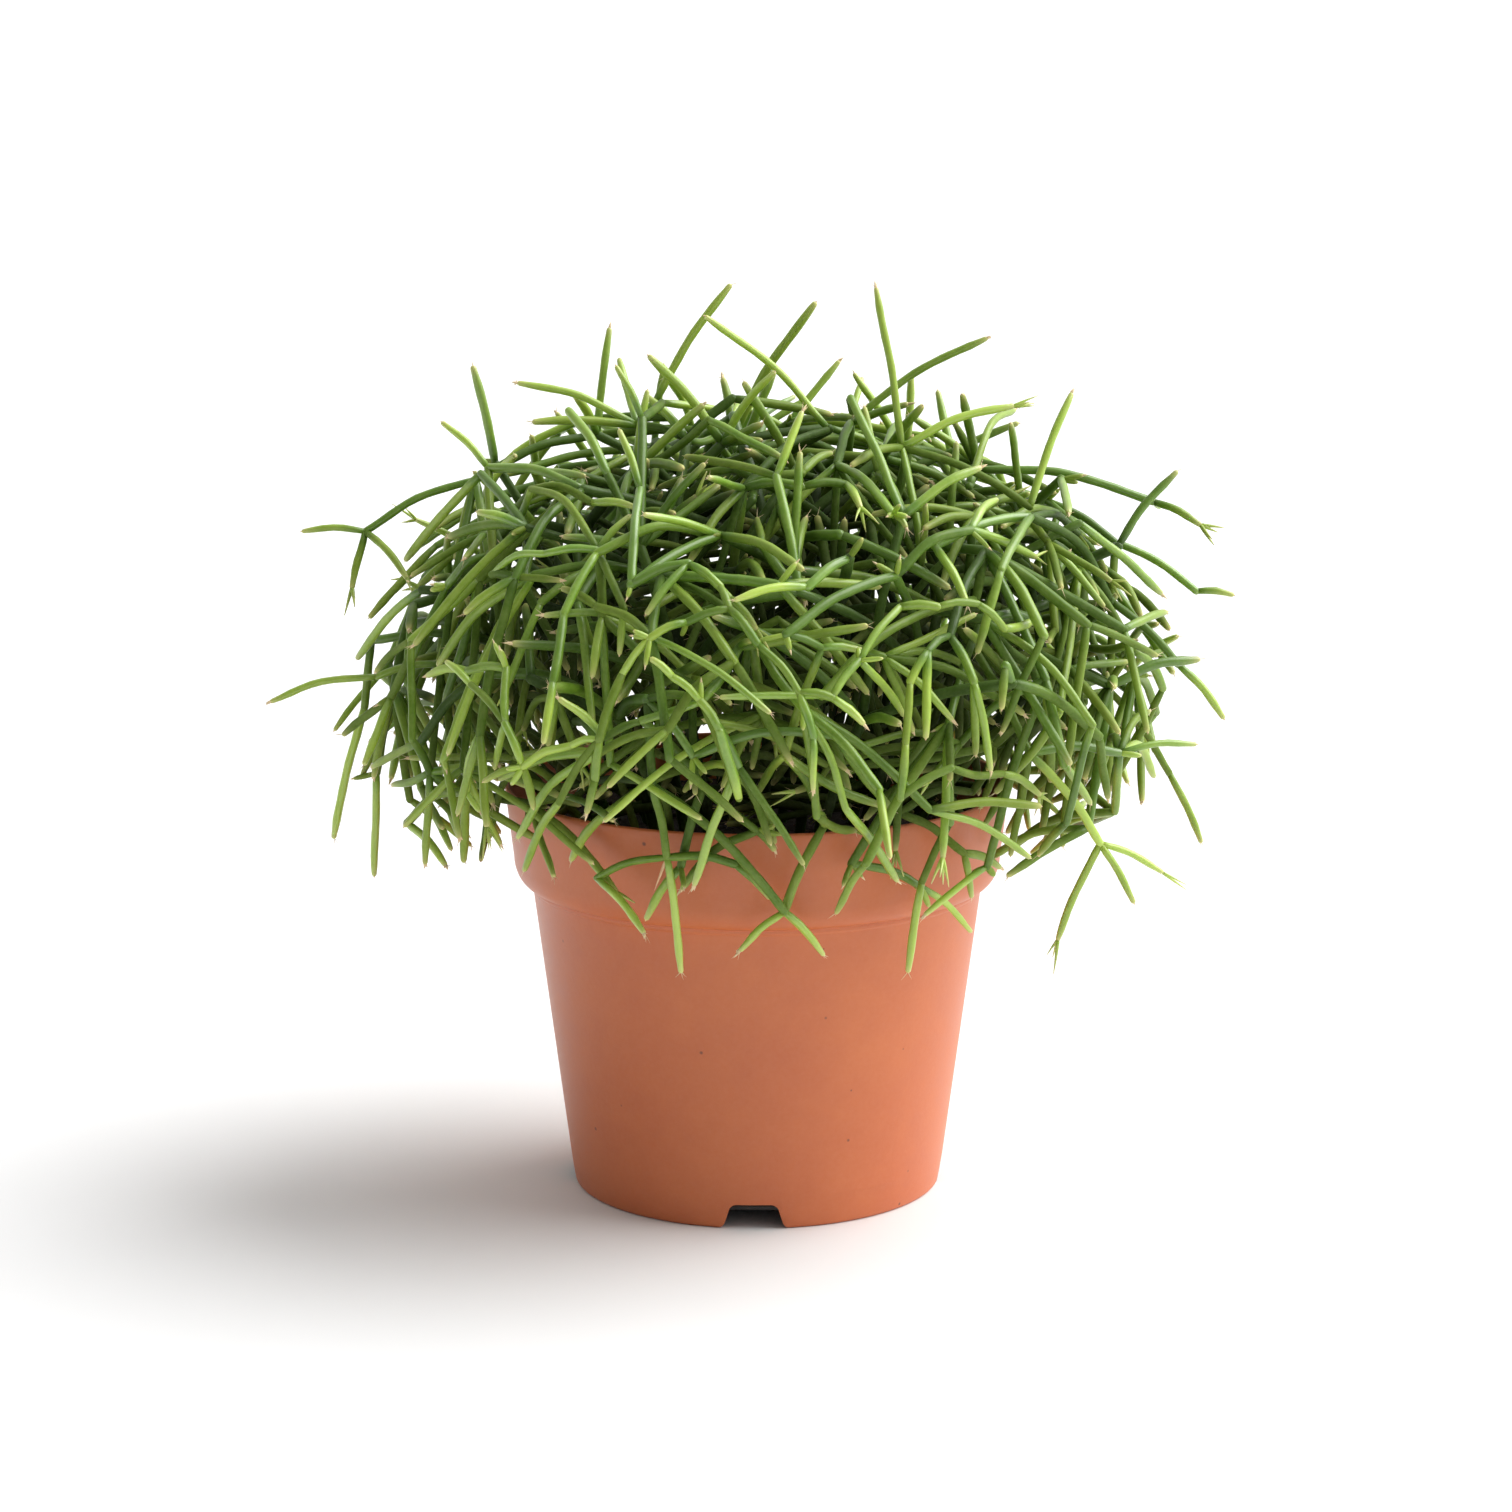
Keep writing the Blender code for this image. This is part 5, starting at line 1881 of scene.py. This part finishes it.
@dataclass
class NurseryPot:
    """The moulded pot with its collar, bead line, foot ring and drain notches."""

    shape: PotShape
    finish: TerracottaPlastic = TerracottaPlastic()
    steps: int = 192
    foot_round: float = 0.0010
    lip_round: float = 0.0006
    floor_under_z: float = 0.0030
    floor_corner: float = 0.0012
    ring_inner_radius: float = 0.0410
    ring_draft: float = 0.0005
    bead: float = 0.00042
    bead_height: float = 0.0006
    notch_count: int = 4
    notch_turn: float = math.radians(-1)
    notch_width_at_foot: float = 0.0146
    notch_width_at_top: float = 0.0114
    notch_height: float = 0.0061
    notch_corner: float = 0.0020
    notch_inner_radius: float = 0.0385
    edge_round: float = 0.00028
    mould_line_z: float = 0.0080
    mould_line_half: float = 0.0004
    mould_line_relief: float = 0.00010
    mould_line_turn: float = math.radians(303)
    mould_line_spread: float = math.radians(18)
    ring_chamfer: float = 0.0004
    wall_heights: tuple[float, ...] = (0.020, 0.032, 0.044, 0.056, 0.068)
    collar_heights: tuple[float, ...] = (0.084, 0.088, 0.092, 0.0955)
    notch_flare: tuple[Span, ...] = ((0.0008, -0.0020), (0.0006, 0.0), (0.0, 0.0005), (-0.0005, 0.0013))
    notch_lean: float = 0.0002

    def build(self) -> None:
        """Builds the pot and dresses it."""
        pot = self.turned(self.profile())
        for number in range(self.notch_count):
            self.cut(pot, self.notch(number))
        self.round_notch_edges(pot)
        pot.data.materials.append(self.finish.material())
        pot.data.shade_smooth()
        pot.data.set_sharp_from_angle(angle=math.radians(50))
        dress(pot, "terracotta_plastic", "pot")

    def arc(self, centre: Span, radius: float, first: float, last: float, count: int) -> list[Span]:
        """Points along a round stretch of the profile.

        Args:
            centre: The arc's middle, as radius and height.
            radius: The arc's radius.
            first: The first angle in degrees, from outwards to up.
            last: The last angle.
            count: The number of points.

        Returns:
            The points, as radius and height.
        """
        turns = [math.radians(first + (last - first) * i / (count - 1)) for i in range(count)]
        return [(centre[0] + radius * math.cos(a), centre[1] + radius * math.sin(a)) for a in turns]

    def profile(self) -> list[Span]:
        """The outline that is turned about the axis, from the middle of the underside round to the floor.

        Returns:
            The points, as radius and height.
        """
        s = self.shape
        points = [(0.0, self.floor_under_z), (self.ring_inner_radius - self.ring_draft, self.floor_under_z)]
        chamfer, line, half = self.ring_chamfer, self.mould_line_z, self.mould_line_half
        points += [(self.ring_inner_radius, chamfer), (self.ring_inner_radius + chamfer, 0.0)]
        round_middle = (s.foot_radius - self.foot_round, self.foot_round)
        points += self.arc(round_middle, self.foot_round, -90, -8, 6)
        heights = (line / 2, line - half, line, line + half, *self.wall_heights)
        points += [(s.wall_radius(z), z) for z in heights]
        foot = s.wall_top_z - 2 * self.bead_height
        for i in range(7):
            bump = math.sin(math.pi / 2 * i / 6) ** 2 * self.bead
            z = foot + (s.wall_top_z - self.bead - foot) * i / 6
            points.append((s.wall_radius(z) + bump, z))
        reach = s.collar_foot_radius - s.wall_top_radius - self.bead
        rise = s.collar_foot_z - s.wall_top_z - self.bead
        for angle in range(-90, 1, 9):
            a = math.radians(angle)
            out = s.wall_top_radius + self.bead + math.cos(a) * reach
            points.append((out, s.collar_foot_z + math.sin(a) * rise))
        points += [(s.collar_radius(z), z) for z in self.collar_heights]
        lip_middle = (s.rim_radius - self.lip_round, s.height - self.lip_round)
        points += self.arc(lip_middle, self.lip_round, 6, 174, 9)
        inside = [(s.collar_foot_radius - s.wall, s.collar_foot_z)]
        inside += [(s.wall_top_radius - s.wall, s.wall_top_z)]
        floor_radius = s.wall_radius(s.floor_top_z) - s.wall
        inside += [(floor_radius, s.floor_top_z + self.floor_corner)]
        inside += [(floor_radius - self.floor_corner, s.floor_top_z), (0.0, s.floor_top_z)]
        return points + inside

    def turned(self, profile: Sequence[Span]) -> bpy.types.Object:
        """Turns the outline into the shell.

        Args:
            profile: The outline's points.

        Returns:
            The shell's object.
        """
        points, rings = [], len(profile) - 2
        for radius, z in profile[1:-1]:
            for k in range(self.steps):
                turn = TURN * k / self.steps
                out = radius + self.mould_mark(turn, z)
                points.append((out * math.cos(turn), out * math.sin(turn), z))
        faces = quad_rows(0, rings - 1, self.steps)
        points += [(0.0, 0.0, profile[0][1]), (0.0, 0.0, profile[-1][1])]
        top = (rings - 1) * self.steps
        for k in range(self.steps):
            j = (k + 1) % self.steps
            faces.append((len(points) - 2, j, k))
            faces.append((len(points) - 1, top + k, top + j))
        mesh = bpy.data.meshes.new("pot_shell")
        mesh.from_pydata(points, [], faces)
        return add_object("pot_shell", mesh)

    def mould_mark(self, turn: float, z: float) -> float:
        """How far the short mould line near the foot stands proud of the wall.

        Args:
            turn: The turn about the axis.
            z: The height.

        Returns:
            The distance.
        """
        if abs(z - self.mould_line_z) > 0.0001:
            return 0.0
        from_middle = abs(turn - self.mould_line_turn) / self.mould_line_spread
        return self.mould_line_relief * smoothstep(2.2 * (1 - from_middle))

    def notch(self, number: int) -> bpy.types.Object:
        """The cutter for one drain notch, with rounded upper corners and flared feet.

        Args:
            number: The notch's number, from the front.

        Returns:
            The cutter.
        """
        foot, top = self.notch_width_at_foot / 2, self.notch_width_at_top / 2
        corner, height = self.notch_corner, self.notch_height
        side = [(foot + out, z) for out, z in self.notch_flare]
        lean = top + self.notch_lean
        for angle in (5, 25, 45, 65, 85):
            a = math.radians(angle)
            side.append((lean - corner + corner * math.cos(a), height - corner + corner * math.sin(a)))
        outline = side + [(-y, z) for y, z in reversed(side)]
        bm = bmesh.new()
        near = [bm.verts.new((self.notch_inner_radius, y, z)) for y, z in outline]
        far = [bm.verts.new((self.shape.foot_radius + 0.0020, y, z)) for y, z in outline]
        bm.faces.new(near)
        bm.faces.new(far)
        for i in range(len(outline)):
            j = (i + 1) % len(outline)
            bm.faces.new((near[i], near[j], far[j], far[i]))
        bmesh.ops.recalc_face_normals(bm, faces=bm.faces)
        mesh = bpy.data.meshes.new("notch_cutter")
        bm.to_mesh(mesh)
        bm.free()
        cutter = add_object("notch_cutter", mesh)
        cutter.rotation_euler.z = self.notch_turn - math.pi / 2 + TURN * number / self.notch_count
        return cutter

    def cut(self, pot: bpy.types.Object, cutter: bpy.types.Object) -> None:
        """Cuts one notch out of the pot and removes the cutter."""
        modifier = pot.modifiers.new("drain_notch", "BOOLEAN")
        modifier.operation = "DIFFERENCE"
        modifier.object = cutter
        bpy.context.view_layer.update()
        evaluated = pot.evaluated_get(bpy.context.evaluated_depsgraph_get())
        mesh = bpy.data.meshes.new_from_object(evaluated)
        pot.modifiers.clear()
        pot.data = mesh
        bpy.data.objects.remove(cutter)

    def round_notch_edges(self, pot: bpy.types.Object) -> None:
        """Rounds the edges of the notches where they meet the wall."""
        bm = bmesh.new()
        bm.from_mesh(pot.data)
        edges = []
        for edge in bm.edges:
            if len(edge.link_faces) != 2 or edge.calc_face_angle(0.0) < math.radians(45):
                continue
            low = all(v.co.z < self.notch_height + 0.0004 for v in edge.verts)
            outer = all(math.hypot(v.co.x, v.co.y) > self.shape.foot_radius - 0.0006 for v in edge.verts)
            if low and outer:
                edges.append(edge)
        settings = {"segments": 2, "profile": 0.5, "affect": "EDGES", "clamp_overlap": True}
        bmesh.ops.bevel(bm, geom=edges, offset=self.edge_round, **settings)
        bm.to_mesh(pot.data)
        bm.free()


@dataclass
class PeatPlug:
    """The plug of peat with crumbs and fibres on its top."""

    shape: PotShape
    finish: Peat = Peat()
    steps: int = 128
    rings: int = 46
    crumbs: int = 520
    fibres: int = 90
    relief: float = 0.0007
    foot_corner: float = 0.0012
    edge_run: float = 0.003
    crumb_margin: float = 0.002
    crumb_size: Span = (0.0004, 0.0012)
    fibre_margin: float = 0.009
    fibre_length: Span = (0.003, 0.008)
    fibre_radius: Span = (0.00010, 0.00022)
    fibre_lift: float = 0.00015
    seed: int = 3

    def build(self) -> None:
        """Builds the plug and dresses it."""
        sketch = MeshSketch("peat_plug")
        self.add_plug(sketch)
        draw = random.Random(self.seed)
        for _ in range(self.crumbs):
            self.add_crumb(sketch, draw)
        for _ in range(self.fibres):
            self.add_fibre(sketch, draw)
        dress(sketch.make(self.finish.material()), "peat", "soil")

    def top(self, x: float, y: float) -> float:
        """Height of the crumbly top at a place."""
        place = Vector((x, y, 0.0))
        lumps = noise.fractal(place * 420, 0.9, 2.1, 4)
        fade = smoothstep((self.edge() - math.hypot(x, y)) / self.edge_run)
        return self.shape.soil_height(x, y) + self.relief * lumps * fade

    def edge(self) -> float:
        """Radius of the plug's top."""
        return self.shape.collar_radius(self.shape.soil_top_z) - self.shape.wall - self.shape.soil_gap

    def add_plug(self, sketch: MeshSketch) -> None:
        """Adds the turned body with its uneven top.

        Args:
            sketch: The sketch to add to.
        """
        s = self.shape
        inset = s.wall + s.soil_gap
        foot = s.wall_radius(s.floor_top_z) - inset
        bottom_z, corner = s.floor_top_z + s.soil_gap, self.foot_corner
        sides = [(foot - corner, bottom_z), (foot, bottom_z + corner)]
        sides += [(s.wall_top_radius - inset, s.wall_top_z + s.soil_gap)]
        sides += [(s.collar_foot_radius - inset, s.collar_foot_z + s.soil_gap)]
        radii = [self.edge() * (1 - ring / self.rings) for ring in range(self.rings)]
        start = len(sketch.points)
        for radius, z in sides + [(radius, None) for radius in radii]:
            for k in range(self.steps):
                turn = TURN * k / self.steps
                x, y = radius * math.cos(turn), radius * math.sin(turn)
                sketch.points.append((x, y, self.top(x, y) if z is None else z))
        rows = len(sides) + len(radii)
        sketch.values += [(0.0, 0.0, 0.0)] * (rows * self.steps)
        sketch.faces += quad_rows(start, rows - 1, self.steps)
        bottom = Vector((0, 0, sides[0][1]))
        sketch.close(bottom, start, self.steps, (0.0, 0.0, 0.0), True)
        pole = Vector((0, 0, self.top(0.0, 0.0)))
        sketch.close(pole, start + (rows - 1) * self.steps, self.steps, (0.0, 0.0, 0.0), False)

    def place(self, draw: random.Random, margin: float) -> Vector:
        """A random place on the top.

        Args:
            draw: The random draw.
            margin: The least distance to the plug's edge.

        Returns:
            The place.
        """
        radius = (self.edge() - margin) * math.sqrt(draw.random())
        turn = draw.uniform(0, TURN)
        x, y = radius * math.cos(turn), radius * math.sin(turn)
        return Vector((x, y, self.top(x, y)))

    def add_crumb(self, sketch: MeshSketch, draw: random.Random) -> None:
        """Adds a crumb that lies half in the top.

        Args:
            sketch: The sketch to add to.
            draw: The random draw.
        """
        least, more = self.crumb_size
        size = least + more * draw.random() ** 2
        lean = spread(Vector((0, 0, 1)), draw.uniform(0, TURN), draw.uniform(0, 0.7))
        sizes = Vector((size, size * draw.uniform(0.6, 1.0), size * draw.uniform(0.5, 0.9)))
        value = (0.35 * draw.random() ** 3, 0.0, 0.0)
        sketch.blob(self.place(draw, self.crumb_margin), lean, sizes, value, draw.uniform(0, 90))

    def add_fibre(self, sketch: MeshSketch, draw: random.Random) -> None:
        """Adds a short fibre that lies on the top.

        Args:
            sketch: The sketch to add to.
            draw: The random draw.
        """
        start = self.place(draw, self.fibre_margin)
        turn = draw.uniform(0, TURN)
        bend = draw.uniform(-0.9, 0.9)
        length = draw.uniform(*self.fibre_length)
        path = []
        for i in range(6):
            way = turn + bend * i / 5
            x = start.x + math.cos(way) * length * i / 5
            y = start.y + math.sin(way) * length * i / 5
            path.append(Vector((x, y, self.top(x, y) + self.fibre_lift)))
        radius = draw.uniform(*self.fibre_radius)
        sketch.tube(path, [radius] * 6, 4, [(draw.uniform(0.4, 1.0), 0.0, 0.0)] * 6)


# The studio


@dataclass
class Studio:
    """The white floor, the soft light from the right, the white surround and the camera."""

    floor: PaleFloor = PaleFloor()
    floor_half: float = 40.0
    floor_drop: float = 0.00002
    sensor_width: float = 36.0
    camera_place: Place = (-0.00025, -0.9653, 0.2989)
    camera_pitch: float = math.radians(-11.462)
    focal_share: float = 4146.9 / 1512
    sun_turn: float = math.radians(12)
    sun_height: float = math.radians(46)
    sun_strength: float = 4.0
    sun_angle: float = math.radians(64)
    surround_turn: float = math.radians(38)
    front_strength: float = 0.13
    back_strength: float = 1.16

    def build(self) -> None:
        """Builds the floor, the light and the camera."""
        self.build_floor()
        self.build_light()
        self.build_camera()
        view = bpy.context.scene.view_settings
        view.view_transform = "Standard"
        view.look = "None"
        log.info("studio: floor, sun, world and camera")

    def build_floor(self) -> None:
        """Builds the floor, which isn't part of the object."""
        half = self.floor_half
        mesh = bpy.data.meshes.new("studio_floor")
        corners = [(-half, -half, 0.0), (half, -half, 0.0), (half, half, 0.0), (-half, half, 0.0)]
        mesh.from_pydata(corners, [], [(0, 1, 2, 3)])
        mesh.materials.append(self.floor.material())
        floor = add_object("studio_floor", mesh)
        floor.location.z = -self.floor_drop

    def build_light(self) -> None:
        """Builds a broad soft key light from the right and a white surround, brighter behind."""
        light = bpy.data.lights.new("key_light", "SUN")
        light.energy = self.sun_strength
        light.angle = self.sun_angle
        key = add_object("key_light", light)
        side = Vector((math.cos(self.sun_turn), math.sin(self.sun_turn), 0))
        way = side * math.cos(self.sun_height) + Vector((0, 0, math.sin(self.sun_height)))
        key.rotation_euler = way.to_track_quat("Z", "Y").to_euler()
        world = bpy.data.worlds.new("white_surround")
        world.use_nodes = True
        graph = Graph(world.node_tree)
        surround = world.node_tree.nodes["Background"]
        place = graph.add("ShaderNodeTexCoord").outputs["Generated"]
        parts = graph.add("ShaderNodeSeparateXYZ", Vector=place)
        sideways = graph.math("MULTIPLY", parts.outputs["X"], math.sin(self.surround_turn))
        backwards = graph.math("MULTIPLY", parts.outputs["Y"], math.cos(self.surround_turn))
        place = graph.math("ADD", sideways, backwards)
        around = graph.between(place, self.front_strength, self.back_strength, -1.0)
        seen = graph.add("ShaderNodeLightPath").outputs["Is Camera Ray"]
        surround.inputs["Color"].default_value = (1.0, 1.0, 1.0, 1.0)
        graph.feed(surround.inputs["Strength"], graph.between(seen, around, 1.0))
        bpy.context.scene.world = world

    def build_camera(self) -> None:
        """Builds the camera, fitted to the pot's outline."""
        lens = bpy.data.cameras.new("camera")
        lens.sensor_width = self.sensor_width
        lens.lens = self.sensor_width * self.focal_share
        lens.clip_start = 0.01
        lens.clip_end = 100.0
        camera = add_object("camera", lens)
        camera.location = self.camera_place
        camera.rotation_euler = (math.pi / 2 + self.camera_pitch, 0.0, 0.0)
        bpy.context.scene.camera = camera


def main() -> None:
    """Builds the studio, the pot, the peat and the plant in order."""
    shape = PotShape()
    Studio().build()
    NurseryPot(shape).build()
    PeatPlug(shape).build()
    Plant(Growth(shape)).build()


if __name__ == "__main__":
    main()
